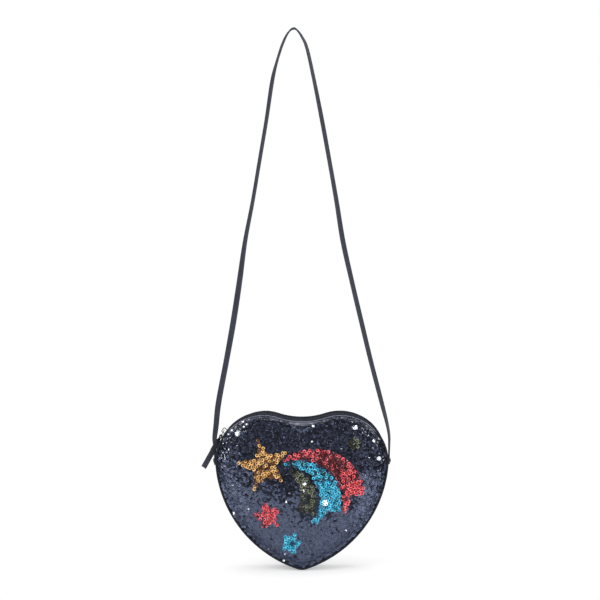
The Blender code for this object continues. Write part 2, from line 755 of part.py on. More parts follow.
def make_slider(zip_axis):
    """The zip slider: two flanged plates joined by a post, with a bridge that the pull hangs on."""
    top_under = TEETH_TOP_INSET - GAP
    top = top_under - PLATE_THICKNESS
    bottom_over = TEETH_BOTTOM_INSET + GAP
    bottom = bottom_over + PLATE_THICKNESS
    edge = SLIDER_WIDTH / 2
    lip = edge - FLANGE_THICKNESS
    post = POST_WIDTH / 2
    upper_lip = TAPE_INSET - GAP
    lower_lip = TAPE_INSET + TAPE_THICKNESS + GAP
    half = [
        (top, edge),
        (upper_lip, edge),
        (upper_lip, lip),
        (top_under, lip),
        (top_under, post),
        (bottom_over, post),
        (bottom_over, lip),
        (lower_lip, lip),
        (lower_lip, edge),
        (bottom, edge),
    ]
    corners = half + [(inset, -y) for inset, y in reversed(half)]
    sections = []
    for step in range(SLIDER_STEPS + 1):
        angle = SLIDER_ANGLE + SLIDER_REACH * (2 * step / SLIDER_STEPS - 1)
        sections.append([((LOBE_RADIUS - inset) * math.cos(angle), y, (LOBE_RADIUS - inset) * math.sin(angle))
                         for inset, y in corners])
    points, faces = loft(sections)
    slider = piece("zip_slider", points, faces, "zip_metal", zip_axis, SHARP_ANGLE)
    outer = BRIDGE_LENGTH / 2
    inner = outer - BRIDGE_WIRE
    arch = [
        (-outer, -PLATE_THICKNESS / 2),
        (-outer, BRIDGE_HEIGHT),
        (-inner, BRIDGE_HEIGHT + BRIDGE_WIRE),
        (inner, BRIDGE_HEIGHT + BRIDGE_WIRE),
        (outer, BRIDGE_HEIGHT),
        (outer, -PLATE_THICKNESS / 2),
        (inner, -PLATE_THICKNESS / 2),
        (inner, BRIDGE_HEIGHT),
        (-inner, BRIDGE_HEIGHT),
        (-inner, -PLATE_THICKNESS / 2),
    ]
    corners = [slider_frame(along, rise) for along, rise in arch]
    bridge = cutter("slider_bridge", *prism(corners, -BRIDGE_WIDTH / 2, BRIDGE_WIDTH / 2), zip_axis)
    boolean(slider, bridge, "UNION")


def wire_loop(corners, radius):
    """A closed wire through flat corners, mitred at each, in the plane of x and y."""
    sections = []
    for index, corner in enumerate(corners):
        here = Vector(corner)
        before = (here - Vector(corners[index - 1])).normalized()
        after = (Vector(corners[(index + 1) % len(corners)]) - here).normalized()
        side_before = Vector((-before.y, before.x))
        side_after = Vector((-after.y, after.x))
        bisector = (side_before + side_after).normalized()
        stretch = radius / bisector.dot(side_before)
        ring = []
        for angle in round_angles(WIRE_SIDES):
            flat = here + bisector * stretch * math.cos(angle)
            ring.append((flat.x, flat.y, radius * math.sin(angle)))
        sections.append(ring)
    return loft(sections, True)


def pull_rotation():
    """Turn from the pull's own frame (x along it, y along its bar) to the bag's."""
    along = Vector((math.cos(PULL_SLOPE) * math.cos(PULL_YAW), -math.sin(PULL_YAW),
                    math.sin(PULL_SLOPE) * math.cos(PULL_YAW)))
    bar = Vector((math.cos(PULL_SLOPE) * math.sin(PULL_YAW), math.cos(PULL_YAW),
                  math.sin(PULL_SLOPE) * math.sin(PULL_YAW)))
    across = along.cross(bar)
    return Matrix((along, bar, across)).transposed()


def make_pull(zip_axis):
    """The pull: a wire ring on the slider's bridge and a folded leather tab on the ring."""
    bar_x, bar_z = slider_frame(0.0, BAR_RISE)
    ring_axis = axis_empty("ring_axis", (bar_x, 0.0, bar_z), zip_axis)
    ring_axis.rotation_euler = pull_rotation().to_euler()
    narrow = RING_TOP_WIDTH / 2
    wide = RING_BOTTOM_WIDTH / 2
    cut = RING_CORNER
    corners = [
        (0.0, -narrow + cut / 2),
        (0.0, narrow - cut / 2),
        (cut, narrow),
        (RING_LENGTH - cut, wide),
        (RING_LENGTH, wide - cut),
        (RING_LENGTH, -wide + cut),
        (RING_LENGTH - cut, -wide),
        (cut, -narrow),
    ]
    points, faces = wire_loop(corners, WIRE_RADIUS)
    piece("pull_ring", points, faces, "zip_metal", ring_axis, SOFT_ANGLE)
    tab_axis = axis_empty("tab_axis", (RING_LENGTH, 0.0, 0.0), ring_axis)
    pinch = TAB_PINCH / 2
    width = TAB_WIDTH / 2
    ply = TAB_THICKNESS
    eye = WIRE_RADIUS + GAP + EYE_WALL
    stations = [
        (-eye, pinch, -eye * 0.6, eye * 0.6, 0.0),
        (-eye * 0.6, pinch, -eye, eye, 0.0),
        (eye * 0.8, pinch, -eye, eye, 0.0),
    ]
    for step in range(1, NECK_STEPS + 1):
        share = step / NECK_STEPS
        half = pinch + (width - pinch) * share
        stations.append((eye + (TAB_NECK - eye) * share, half, -ply, ply, share))
    stations += [
        (TAB_FOLD_LENGTH, width, -ply, ply, 1.0),
        (TAB_FOLD_LENGTH + ply / 2, width, 0.0, ply, 1.0),
        (TAB_LENGTH, width, 0.0, ply, 1.0),
    ]
    sections = []
    for x, half, low, high, share in stations:
        twist = Matrix.Rotation(TAB_TWIST * share ** 2 * (3 - 2 * share), 3, "X")
        ring = [(x, -half, low), (x, half, low), (x, half, high), (x, -half, high)]
        sections.append([tuple(twist @ Vector(corner)) for corner in ring])
    points, faces = loft(sections)
    tab = piece("pull_tab", points, faces, "dark_leather", tab_axis, SHARP_ANGLE)
    radius = WIRE_RADIUS + GAP
    rings = []
    for y in (-TAB_WIDTH, TAB_WIDTH):
        rings.append([(radius * math.cos(angle), y, radius * math.sin(angle))
                      for angle in round_angles(ROUND_SIDES // 2)])
    boolean(tab, cutter("tab_eye", *loft(rings), tab_axis))


# The strap

def smooth_between(before, start, end, after, share):
    """A place between start and end on the smooth curve through four places in a row."""
    place = []
    for p_0, p_1, p_2, p_3 in zip(before, start, end, after):
        cubic = 2 * p_1 + (p_2 - p_0) * share
        cubic += (2 * p_0 - 5 * p_1 + 4 * p_2 - p_3) * share ** 2
        cubic += (3 * p_1 - p_0 - 3 * p_2 + p_3) * share ** 3
        place.append(cubic / 2)
    return tuple(place)


def leg_places(leg, rivet):
    """Places along one leg, each at its share of the straight line down to the rivet."""
    return [(rivet[0] * share + bow, y, rivet[2] * share, turn) for share, bow, y, turn in leg]


def tail_end(rivet, follow):
    """The strap's end, in line with the leg on the far side of its rivet."""
    down = (Vector(rivet[:3]) - Vector(follow[:3])).normalized()
    return (*(Vector(rivet[:3]) + down * STRAP_TAIL), 0.0)


def strap_stations():
    """Centre of the strap and the turn of its face, from the left tail over the top to the right tail."""
    left_rivet = (BAG_SHIFT - STRAP_CENTRE_X, 0.0, -STRAP_DROP, 0.0)
    right_rivet = (BAG_SHIFT + STRAP_CENTRE_X, 0.0, -STRAP_DROP, 0.0)
    middle = (0.0, 0.0, 0.0, 0.0)
    left_leg = leg_places(LEFT_LEG, left_rivet)
    right_leg = leg_places(RIGHT_LEG, right_rivet)
    places = [left_rivet, *left_leg, middle, *right_leg, right_rivet]
    stations = []
    for index in range(1, len(places) - 2):
        start, end = places[index], places[index + 1]
        length = (Vector(end[:3]) - Vector(start[:3])).length
        steps = max(2, round(length / STRAP_STEP))
        for step in range(steps):
            stations.append(smooth_between(places[index - 1], start, end, places[index + 2], step / steps))
    stations.append(places[-2])
    stations = [left_rivet] + stations + [right_rivet]
    return [tail_end(left_rivet, left_leg[0])] + stations + [tail_end(right_rivet, right_leg[-1])]


def make_strap():
    """One flat strap over the hanging point, twisted a little on its way down, with a hole at each rivet."""
    stations = strap_stations()
    lift = Vector((0.0, 0.0, STRAP_THICKNESS / 2))
    sections = []
    for index, (x, y, z, turn) in enumerate(stations):
        here = Vector((x, y, z))
        before = Vector(stations[max(0, index - 1)][:3])
        after = Vector(stations[min(len(stations) - 1, index + 1)][:3])
        along = (after - before).normalized()
        wide = Vector((0.0, 1.0, 0.0))
        wide = (wide - along * wide.dot(along)).normalized()
        wide = Matrix.Rotation(math.radians(turn), 3, along) @ wide
        thick = along.cross(wide)
        half_wide = wide * STRAP_WIDTH / 2
        half_thick = thick * STRAP_THICKNESS / 2
        outer = [half_wide + half_thick, half_thick - half_wide]
        inner = [-half_wide - half_thick, half_wide - half_thick]
        sections.append([tuple(here + corner + lift) for corner in outer + inner])
    points, faces = loft(sections)
    strap = piece("strap", points, faces, "dark_leather", None, SOFT_ANGLE)
    guide = axis_empty("strap_hole_axis", (BAG_SHIFT, 0.0, HINGE_Z))
    for name, side in (("left", -1), ("right", 1)):
        boolean(strap, x_cylinder("strap_hole_" + name, RIVET_RADIUS + RIVET_CLEARANCE, side, guide))


def main():
    clear_scene()
    make_strap()
    bag = axis_empty("bag_axis", (BAG_SHIFT, 0.0, HINGE_Z))
    make_front(bag)
    make_front_filling(bag)
    make_back(bag)
    make_piping(bag)
    make_gusset(bag)
    make_rivets(bag)
    make_zip(bag)
    zip_axis = axis_empty("zip_axis", (-LOBE_OFFSET, 0.0, 0.0), bag)
    make_slider(zip_axis)
    make_pull(zip_axis)


main()
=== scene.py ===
"""A child's heart-shaped crossbody bag with a sequinned front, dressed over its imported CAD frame."""

import json
import math
from functools import cache

import bmesh
import bpy
from mathutils import Matrix, Vector


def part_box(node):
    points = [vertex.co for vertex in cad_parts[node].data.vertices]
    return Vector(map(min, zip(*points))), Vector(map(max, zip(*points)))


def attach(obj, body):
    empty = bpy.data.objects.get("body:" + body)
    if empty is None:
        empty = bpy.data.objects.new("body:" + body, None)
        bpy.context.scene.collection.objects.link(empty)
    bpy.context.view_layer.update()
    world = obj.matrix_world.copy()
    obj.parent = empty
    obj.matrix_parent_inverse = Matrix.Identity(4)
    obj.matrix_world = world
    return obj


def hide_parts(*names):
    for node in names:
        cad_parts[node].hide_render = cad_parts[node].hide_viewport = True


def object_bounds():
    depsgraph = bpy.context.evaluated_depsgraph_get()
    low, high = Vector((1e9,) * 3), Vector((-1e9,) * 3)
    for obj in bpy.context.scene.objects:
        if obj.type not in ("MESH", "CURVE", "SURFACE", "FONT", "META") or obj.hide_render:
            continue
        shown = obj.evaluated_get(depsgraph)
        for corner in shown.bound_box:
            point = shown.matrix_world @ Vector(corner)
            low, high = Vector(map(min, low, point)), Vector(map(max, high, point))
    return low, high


bl_info = {
    "name": "Heart Crossbody Bag",
    "version": (1, 0, 0),
    "blender": (4, 5, 0),
    "location": "View3D > Sidebar > Heart Bag",
    "description": "Builds the sequinned heart bag, its zip, strap and studio stage",
    "category": "Object",
}

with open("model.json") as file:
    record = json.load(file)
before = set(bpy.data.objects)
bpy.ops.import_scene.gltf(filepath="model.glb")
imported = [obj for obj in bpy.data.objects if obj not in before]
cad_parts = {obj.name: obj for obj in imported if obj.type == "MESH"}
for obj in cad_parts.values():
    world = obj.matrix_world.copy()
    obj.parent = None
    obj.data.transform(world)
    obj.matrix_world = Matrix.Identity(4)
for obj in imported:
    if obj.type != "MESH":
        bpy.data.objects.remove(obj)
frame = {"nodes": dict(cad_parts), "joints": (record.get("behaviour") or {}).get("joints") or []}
CAD_BOX = [list(corner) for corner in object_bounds()]

# Where the line through both strap rivets runs, on which the bag hangs
HINGE = Vector((0.0089, 0.0, -0.4455))

# Gap between pieces, the gusset's join on the lobes, depths below the outline, and the panels' middle
GAP = 0.0003
JOIN_ANGLE = math.radians(12)
EDGE_INSET = 0.0026
GUSSET_INSET = 0.0012
PIPING_INSET = 0.0012
PANEL_CENTRE_Z = -0.012

# Front panel in profile: inset from the outline and rise in front of the gusset's edge
FRONT_KNOTS = (
    (0.0026, 0.0014),
    (0.0029, 0.0024),
    (0.0035, 0.0030),
    (0.0042, 0.0032),
    (0.0049, 0.0029),
    (0.0055, 0.0022),
    (0.0060, 0.0018),
    (0.0066, 0.0021),
    (0.0076, 0.0030),
    (0.0090, 0.0039),
    (0.0105, 0.0046),
    (0.0120, 0.0050),
)

# The knot at the bottom of the stitched groove, and the front's rise in the middle
GROOVE_KNOT = 6
CROWN_RISE = 0.0078

# Back panel in the same way
BACK_KNOTS = (
    (0.0026, 0.0014),
    (0.0031, 0.0022),
    (0.0044, 0.0029),
    (0.0063, 0.0033),
    (0.0082, 0.0035),
    (0.0100, 0.0036),
)

# Shares at which the inner rings of a panel and of a lining sheet close in on the middle
SHARES = (0.95, 0.9, 0.84, 0.78, 0.72, 0.65, 0.58, 0.5, 0.42, 0.34, 0.26, 0.18, 0.1, 0.04)
SHEET_SHARES = (1.0, 0.85, 0.7, 0.5, 0.3, 0.12)

# Five-point stars: centre x, centre z, tip radius, waist radius, turn of the first tip
GOLD_STAR = (-0.0386, -0.0030, 0.0270, 0.0112, 103.5)
SMALL_RED_STAR = (-0.0350, -0.0548, 0.0138, 0.0066, 104)
SMALL_CYAN_STAR = (-0.0113, -0.0823, 0.0104, 0.0054, 69.5)
SMALL_OLIVE_STAR = (0.0539, 0.0186, 0.0088, 0.0046, 100)

# Curved tails: head, outer tip, inner tip, bow of the outer edge, bow of the inner edge, depth of the fork
RED_TAIL = ((-0.0194, 0.0012), (0.0641, -0.0314), (0.0421, -0.0496), 0.0262, 0.0232, 0.0095)
CYAN_TAIL = ((-0.0184, -0.0022), (0.0386, -0.0497), (0.0121, -0.0609), 0.0222, 0.0206, 0.0080)
OLIVE_TAIL = ((-0.0143, -0.0072), (0.0106, -0.0545), (-0.0045, -0.0530), 0.0140, 0.0080, 0.0040)

# Painted sparkles, which glow: places on the front that catch the light: x, z and how far the light spreads
SPARKLES = (
    (-0.0659, 0.0295, 0.0036), (-0.0607, 0.0418, 0.0016), (-0.0541, 0.0443, 0.0013),
    (-0.0594, 0.0361, 0.0013), (-0.0567, 0.0387, 0.0011), (-0.0720, 0.0326, 0.0014),
    (-0.0750, 0.0290, 0.0012), (-0.0807, 0.0193, 0.0012), (-0.0745, 0.0132, 0.0013),
    (-0.0786, 0.0035, 0.0012), (0.0112, 0.0367, 0.0018), (0.0102, 0.0214, 0.0011),
    (0.0541, 0.0356, 0.0030), (0.0738, 0.0222, 0.0022), (0.0786, 0.0244, 0.0016),
    (0.0786, 0.0040, 0.0026), (0.0025, -0.0215, 0.0022), (0.0015, -0.0287, 0.0013),
    (0.0235, -0.0409, 0.0035), (-0.0699, -0.0526, 0.0019), (-0.0546, -0.0475, 0.0014),
    (-0.0163, -0.0399, 0.0015), (-0.0174, -0.0935, 0.0014), (-0.0184, -0.1006, 0.0014),
    (0.0449, -0.0695, 0.0015),
)

# Painted light and shade: patches where a colour's sequins are painted brighter or darker: x, z, reach and by
# how much
GOLD_LIGHT_AND_SHADE = (
    (-0.0580, 0.0060, 0.006, -0.20),
    (-0.0445, 0.0185, 0.012, -0.20),
    (-0.0370, -0.0030, 0.016, 0.15),
    (-0.0590, -0.0030, 0.012, 0.25),
    (-0.0520, -0.0220, 0.012, 0.30),
)
RED_LIGHT_AND_SHADE = (
    (0.0590, -0.0345, 0.014, 0.80),
    (0.0430, -0.0470, 0.009, 0.60),
    (-0.0130, 0.0050, 0.010, 0.30),
    (0.0100, 0.0130, 0.010, 0.20),
    (0.0300, -0.0020, 0.016, -0.25),
    (0.0335, -0.0190, 0.008, -0.40),
    (0.0390, -0.0310, 0.006, -0.35),
    (0.0520, -0.0150, 0.008, 0.20),
    (-0.0330, -0.0530, 0.013, 0.50),
    (-0.0425, -0.0665, 0.006, -1.20),
)
CYAN_LIGHT_AND_SHADE = (
    (0.0240, -0.0380, 0.018, 0.35),
    (0.0150, -0.0570, 0.009, 0.25),
    (-0.0120, -0.0820, 0.014, 0.50),
    (-0.0100, -0.0830, 0.003, -1.20),
)
OLIVE_LIGHT_AND_SHADE = (
    (-0.0115, -0.0090, 0.007, -0.60),
    (-0.0010, -0.0155, 0.007, 0.45),
    (0.0075, -0.0300, 0.008, 0.25),
    (0.0020, -0.0530, 0.008, -0.45),
    (0.0500, 0.0215, 0.004, -0.50),
    (0.0570, 0.0165, 0.005, 0.30),
)

# The pull's leather strip, measured from the ring's lower bar: fold, end, neck and how far its face is turned
TAB_FOLD = 0.0180
TAB_END = 0.0385
TAB_NECK = 0.0085
TAB_TWIST = math.radians(75)
TAB_HALF_WIDTH = 0.00285
TAB_PINCH = 0.0022
TAB_PLY = 0.0009

# Strap route: share of the way from the bend down to the rivet, sideways bow, y, turn of the face in degrees
LEFT_LEG = (
    (0.9707, -0.0024, 0.0067, 25),
    (0.9527, -0.0047, 0.0088, 37),
    (0.9229, -0.0056, 0.0093, 51),
    (0.8669, -0.0074, 0.0091, 58),
    (0.7706, -0.0071, 0.0084, 55),
    (0.6781, -0.0072, 0.0074, 63),
    (0.5853, -0.0084, 0.0063, 55),
    (0.4928, -0.0101, 0.0052, 35),
    (0.4001, -0.0097, 0.0042, 27),
    (0.3073, -0.0102, 0.0032, 27),
    (0.2148, -0.0107, 0.0022, 27),
    (0.1221, -0.0120, 0.0012, 29),
    (0.0757, -0.0108, 0.0007, 15),
    (0.0341, -0.0081, 0.0003, 15),
    (0.0099, -0.0046, 0.0001, 8),
)
RIGHT_LEG = (
    (0.0054, 0.0040, 0.0, 8),
    (0.0208, 0.0072, 0.0, 15),
    (0.0466, 0.0096, 0.0, 22),
    (0.1221, 0.0096, 0.0, 26),
    (0.2148, 0.0086, 0.0, 33),
    (0.3073, 0.0070, 0.0, 32),
    (0.4001, 0.0051, 0.0, 36),
    (0.4928, 0.0026, 0.0, 43),
    (0.5853, 0.0026, 0.0, 39),
    (0.6781, 0.0032, 0.0, 39),
    (0.7706, 0.0040, 0.0, 37),
    (0.8634, 0.0056, 0.0, 34),
    (0.9189, 0.0064, 0.0, 20),
    (0.9527, 0.0051, 0.0, 12),
)

# Steps along the outline's arcs and along the bowed edge of a tail
TIP_STEPS = 8
SIDE_STEPS = 28
LOBE_STEPS = 34
NOTCH_STEPS = 12
JOIN_STEPS = 6
BOW_STEPS = 12

# Inner side of a padded panel, and the rise of its cut edge
INNER_INSET = 0.0036
INNER_DEPTH = 0.0001
RIM_RISE = 0.0006

# Cloth simulation of the back: its pressure, its frames and the furthest that a point may move
BACK_PRESSURE = 1.0
CLOTH_FRAMES = 20
BACK_SWELL = 0.0018

# Rows of thread and coils: spacing, length, width and height of one bead
GROOVE_STITCH = (0.0026, 0.0019, 0.0005, 0.0004)
BACK_STITCH = (0.0030, 0.0023, 0.00055, 0.0005)
GUSSET_STITCH = (0.0028, 0.0021, 0.0005, 0.0004)
PATCH_STITCH = (0.0020, 0.0015, 0.0004, 0.0004)
TAB_STITCH = (0.0022, 0.0016, 0.0004, 0.0003)
STRAP_STITCH = (0.0026, 0.0019, 0.0004, 0.0003)
ZIP_COIL = (0.00125, 0.00095, 0.0022, 0.0021)
BACK_STITCH_INSET = 0.0052
BACK_STITCH_RISE = 0.00315

# Inner arms of two forked tails: where each starts, and half its width
RED_FORK = (0.0470, -0.0375)
CYAN_FORK = (0.0235, -0.0475)
FORK_HALF_WIDTH = 0.0022

# A sequin one unit across: its hole, its rim, the height of its cup and its corners
DISC_HOLE = 0.23
DISC_RIM = 0.5
DISC_CUP = 0.07
DISC_CORNERS = 10

# Layers in front of the bag from which sequins are dropped onto it, and how they lie there
FIGURE_LAYER = -0.06
FIELD_LAYER = -0.07
DROP_LENGTH = 0.2
# The bed under the figures is a layer of discs, mostly in the dark colour: painted shade between their
# sequins.
SHADE_BED_LIFT = 0.0001
FIELD_INSET = 0.0034
FIELD_FIRST_BAND = 0.22
FIGURE_LIFT = 0.0011
FIGURE_SHADE_BED = 1.1
FIELD_LIFT = 0.0004

# The bare strip in the notch: its fade to both sides, its fade upwards and how many bands it takes
NOTCH_ASIDE = (0.004, 0.017)
NOTCH_HEIGHTS = (0.024, 0.032)
NOTCH_BANDS = 0.75

# The line under which ground sequins are painted slate, as painted reflection of light, and above which they
# stay navy: its height in the middle, and its rise to the rims
REFLECTION_MIDDLE = -0.041
REFLECTION_RISE = 0.040
REFLECTION_REACH = 0.085
REFLECTION_POWER = 2.2
REFLECTION_WANDER = 0.060
REFLECTION_SPAN = (-0.020, 0.012)
REFLECTION_ODDS = (0.01, 0.975)

# The same line at the right rim, where it is level and sharper
RIGHT_SPAN = (0.048, 0.064)
RIGHT_MIDDLE = -0.0125

# Spots under that line where no reflection is painted and the sequins stay navy: x, z, reach and how far they
# push it down
UNLIT_SPOT_START = 0.003
UNLIT_SPOTS = (
    (0.010, -0.053, 0.025, -0.026),
    (0.052, -0.043, 0.016, -0.027),
    (0.033, -0.056, 0.012, -0.018),
)

# The crease under the notch, painted with a pale highlight: its height, its slope to both sides, its width
# and its ends
CREASE_HEIGHT = 0.0314
CREASE_SLOPE = -0.50
CREASE_WIDTH = (0.0006, 0.0014)
CREASE_ENDS = (0.009, 0.015)

# Painted glints where the front's shoulder catches the light: distance from the middle, heights and bands;
# and how often
GLINT_ASIDE = (0.042, 0.058)
GLINT_HEIGHTS = (-0.030, 0.004)
GLINT_FIRST_BANDS = (0.40, 0.65)
GLINT_LAST_BANDS = (1.0, 2.3)
GLINT_MOST = 0.50
GLINT_LEAST = 0.0012

# Painted highlight: ground sequins near the rims are painted paler: bands and distance from the middle
HIGHLIGHT_BANDS = (2.05, 2.38)
HIGHLIGHT_ASIDE = (0.045, 0.062)

# Leather of the gusset and zip facings, how much its edges round, and the seams on it
GUSSET_INNER_INSET = 0.0024
GUSSET_LINING_INSETS = (0.0027, 0.0032)
EDGE_ROUNDING = 0.35
SEAM_INSET = 0.0011
SEAM_MARGIN = 0.0016
ZIP_SLOT_Y = 0.0052
ZIP_SEAM_Y = 0.0066

# Piping: its cord, how much fuller the back one is on top, and where the front one is painted with a
# highlight
PIPING_RADIUS = 0.0011
PIPING_CORNERS = 12
PIPING_RIPPLE = 0.03
PIPING_TOP = (0.022, 0.036)
PIPING_SWELL = 0.00045
PIPING_SWELL_SPAN = (-0.054, -0.036)
PIPING_SHINE = math.radians(225)

# Strap anchors: the patch's length, its stitches' margin as an angle and their rows, then the rivet's parts
PATCH_LENGTH = 0.0170
PATCH_MARGIN = 0.03
PATCH_ROWS = (-0.0058, -0.002, 0.002, 0.0058)
WASHER_DEPTHS = (0.0043, 0.0037)
WASHER_RADIUS = 0.0034
SHANK_RADIUS = 0.0014
RIVET_CORNERS = 28
RIVET_HEAD = (
    (0.0, 0.0022),
    (0.0001, 0.0024),
    (0.0003, 0.0024),
    (0.0005, 0.0021),
    (0.0007, 0.0015),
    (0.0008, 0.0007),
)

# Zip: its tapes and coils, and the slider's place over the level line of its lobe
TAPE_INSETS = (0.0027, 0.00325)
TAPE_SPAN = (0.0032, 0.0120)
COIL_INSET = 0.00245
COIL_Y = 0.0018
COIL_SLANT = 0.12
SLIDER_ANGLE = math.radians(37)
SLIDER_HALF = 0.0045

# The pull's strip: radius of its eye, where its plies part, end of its pinch, gap and half of a ply, edges
TAB_EYE = 0.0013
TAB_THROAT = 0.0022
TAB_PINCH_END = 0.0012
PLY_GAP = 0.00002
PLY_SHARE = 0.46
TAB_EDGES = (0.70, 0.95)

# Its stitches: first place, distances from the end and the fold, and share of half the width
TAB_STITCH_START = 0.0050
TAB_STITCH_ENDS = (0.0012, 0.0010)
TAB_STITCH_SIDE = 0.72

# Cross-sections of the pull's tab and the strap: shares of half the width and of the thickness
TAB_PROFILE = (
    (-1.0, -0.3), (-0.95, -0.85), (-0.82, -1.0), (0.0, -0.94), (0.82, -1.0), (0.95, -0.85), (1.0, -0.3),
    (1.0, 0.3), (0.95, 0.85), (0.82, 1.0), (0.0, 0.94), (-0.82, 1.0), (-0.95, 0.85), (-1.0, 0.3),
)
STRAP_FACE = (
    (1.0, 0.35), (0.93, 0.85), (0.80, 1.0), (0.62, 0.86), (0.0, 0.94),
    (-0.62, 0.86), (-0.80, 1.0), (-0.93, 0.85), (-1.0, 0.35),
)

# Strap: steps along it, tail past a rivet, the stretch of its right leg painted lighter as painted light and
# by how much, edges and place of the stitches
STRAP_STEP = 0.004
STRAP_TAIL = 0.0040
STRAP_LIT = (0.0, 0.05)
STRAP_LIT_MOST = 0.72
STRAP_EDGES = (0.6, 0.95)
STRAP_STITCH_PLACE = (0.62, 0.87)

# Soft lights of the studio: name, place, height of the aim, size and power
LIGHTS = (
    ("key light", (-0.9, -1.5, 0.55), -0.35, 1.0, 22.0),
    ("fill light", (1.1, -1.3, 0.1), -0.4, 1.2, 13.0),
    ("top light", (0.1, 0.3, 1.1), -0.4, 1.0, 5.0),
    ("back light", (0.7, 1.7, 0.2), -0.4, 1.2, 10.0),
)

# Camera and floor
CAMERA_PLACE = (0.0069, -1.8, -0.2799)
CAMERA_LENS = 104.45
CAMERA_SENSOR = 36.0
FLOOR_CORNERS = ((-4, -3), (4, -3), (4, 6), (-4, 6))
FLOOR_GAP = 0.0006

# White surroundings: share of their light that falls on things
WORLD_LIGHT = 0.5

# White paper: where it fades to pure white, its greys, its own light and the light added where it is pure
FLOOR_FADE = (0.03, 0.14)
FLOOR_GREYS = (0.60, 0.64)
FLOOR_LIGHT = (0.43, 0.58)

WHITE = (1.0, 1.0, 1.0, 1.0)
BLACK = (0.0, 0.0, 0.0, 1.0)


# Sizes and colours that a user would change

def length_property(name, description, default, low, high):
    """A length setting with the words that a user reads."""
    return bpy.props.FloatProperty(
        name=name, description=description, default=default, min=low, max=high, precision=5, unit="LENGTH")


def angle_property(name, description, degrees, low, high):
    """An angle setting with the words that a user reads."""
    return bpy.props.FloatProperty(
        name=name, description=description, default=math.radians(degrees), min=low, max=high,
        subtype="ANGLE", unit="ROTATION")


def colour_property(name, description, default):
    """A colour setting with the words that a user reads."""
    return bpy.props.FloatVectorProperty(
        name=name, description=description, default=default, subtype="COLOR", size=3, min=0.0, max=1.0)


class BagSizes(bpy.types.PropertyGroup):
    """Driving sizes of the bag, the same as its frame's."""

    lobe_radius: length_property("Lobe radius", "Radius of each round lobe of the heart", 0.04925, 0.02, 0.1)
    lobe_offset: length_property(
        "Lobe offset", "Distance of each lobe's centre from the middle of the bag", 0.0395, 0.02, 0.1)
    side_radius: length_property("Side radius", "Radius of the long curve down to the tip", 0.123, 0.06, 0.3)
    side_start: angle_property(
        "Side start", "Angle on the lobe where the long side curve begins", -5.5, -0.5, 0.0)
    tip_radius: length_property("Tip radius", "Radius of the rounded tip", 0.0152, 0.005, 0.04)
    notch_depth: length_property(
        "Notch depth", "How far the top dips between the lobes", 0.00625, 0.002, 0.03)
    gusset_width: length_property(
        "Gusset width", "Depth of the band between front and back", 0.0384, 0.01, 0.1)
    strap_width: length_property("Strap width", "Width of the leather strap", 0.0066, 0.003, 0.02)
    strap_thickness: length_property(
        "Strap thickness", "Thickness of the leather strap", 0.0018, 0.0008, 0.004)
    strap_drop: length_property("Strap drop", "Height of the bend over the rivets", 0.4464, 0.2, 0.7)


class SequinSizes(bpy.types.PropertyGroup):
    """Sizes and spacing of the sequins."""

    field_diameter: length_property(
        "Field sequin", "Diameter of the sequins of the ground", 0.0024, 0.001, 0.008)
    field_spacing: length_property(
        "Field spacing", "Least distance between sequins of the ground", 0.0015, 0.001, 0.008)
    field_tilt: angle_property("Field tilt", "Largest lean of a sequin of the ground", 9, 0.0, 1.0)
    figure_diameter: length_property(
        "Figure sequin", "Diameter of the sequins of the stars and tails", 0.0036, 0.001, 0.008)
    figure_spacing: length_property(
        "Figure spacing", "Least distance between sequins of the stars and tails", 0.0023, 0.001, 0.008)
    figure_tilt: angle_property(
        "Figure tilt", "Largest lean of a sequin of the stars and tails", 26, 0.0, 1.0)
    seed: bpy.props.IntProperty(
        name="Seed", description="Number that fixes the random lean and shade", default=7, min=0)


class BagColours(bpy.types.PropertyGroup):
    """Colours of the sequins, leather, cloth and metal."""

    # Navy is the ground sequins' own colour; slate is painted on them lower down as painted reflection of
    # light.
    navy: colour_property("Navy", "Dark side of the ground sequins", (0.013, 0.0155, 0.027))
    slate: colour_property("Slate", "Light side of the ground sequins", (0.092, 0.114, 0.194))
    gold: colour_property("Gold", "Sequins of the large star", (0.86, 0.50, 0.170))
    gold_dark: colour_property("Dark gold", "Shaded sequins of the large star", (0.130, 0.042, 0.007))
    red: colour_property("Red", "Sequins of the red tail and star", (0.88, 0.105, 0.125))
    red_dark: colour_property("Dark red", "Shaded red sequins", (0.085, 0.004, 0.009))
    cyan: colour_property("Cyan", "Sequins of the blue tail and star", (0.060, 0.54, 0.79))
    cyan_dark: colour_property("Dark cyan", "Shaded cyan sequins", (0.003, 0.060, 0.11))
    olive: colour_property("Olive", "Sequins of the olive tail and star", (0.165, 0.182, 0.120))
    olive_dark: colour_property("Dark olive", "Shaded olive sequins", (0.009, 0.011, 0.005))
    leather: colour_property("Leather", "Imitation leather of the edges and strap", (0.019, 0.021, 0.029))
    # This colour goes on the strap's scuffed edges and, as painted light, on its right leg.
    leather_worn_and_lit: colour_property("Worn leather", "Leather where it is rubbed", (0.055, 0.059, 0.074))
    cloth: colour_property("Lining", "Lining cloth", (0.050, 0.052, 0.075))
    metal: colour_property("Metal", "Zip slider, ring and rivets", (0.165, 0.158, 0.145))


# The heart outline

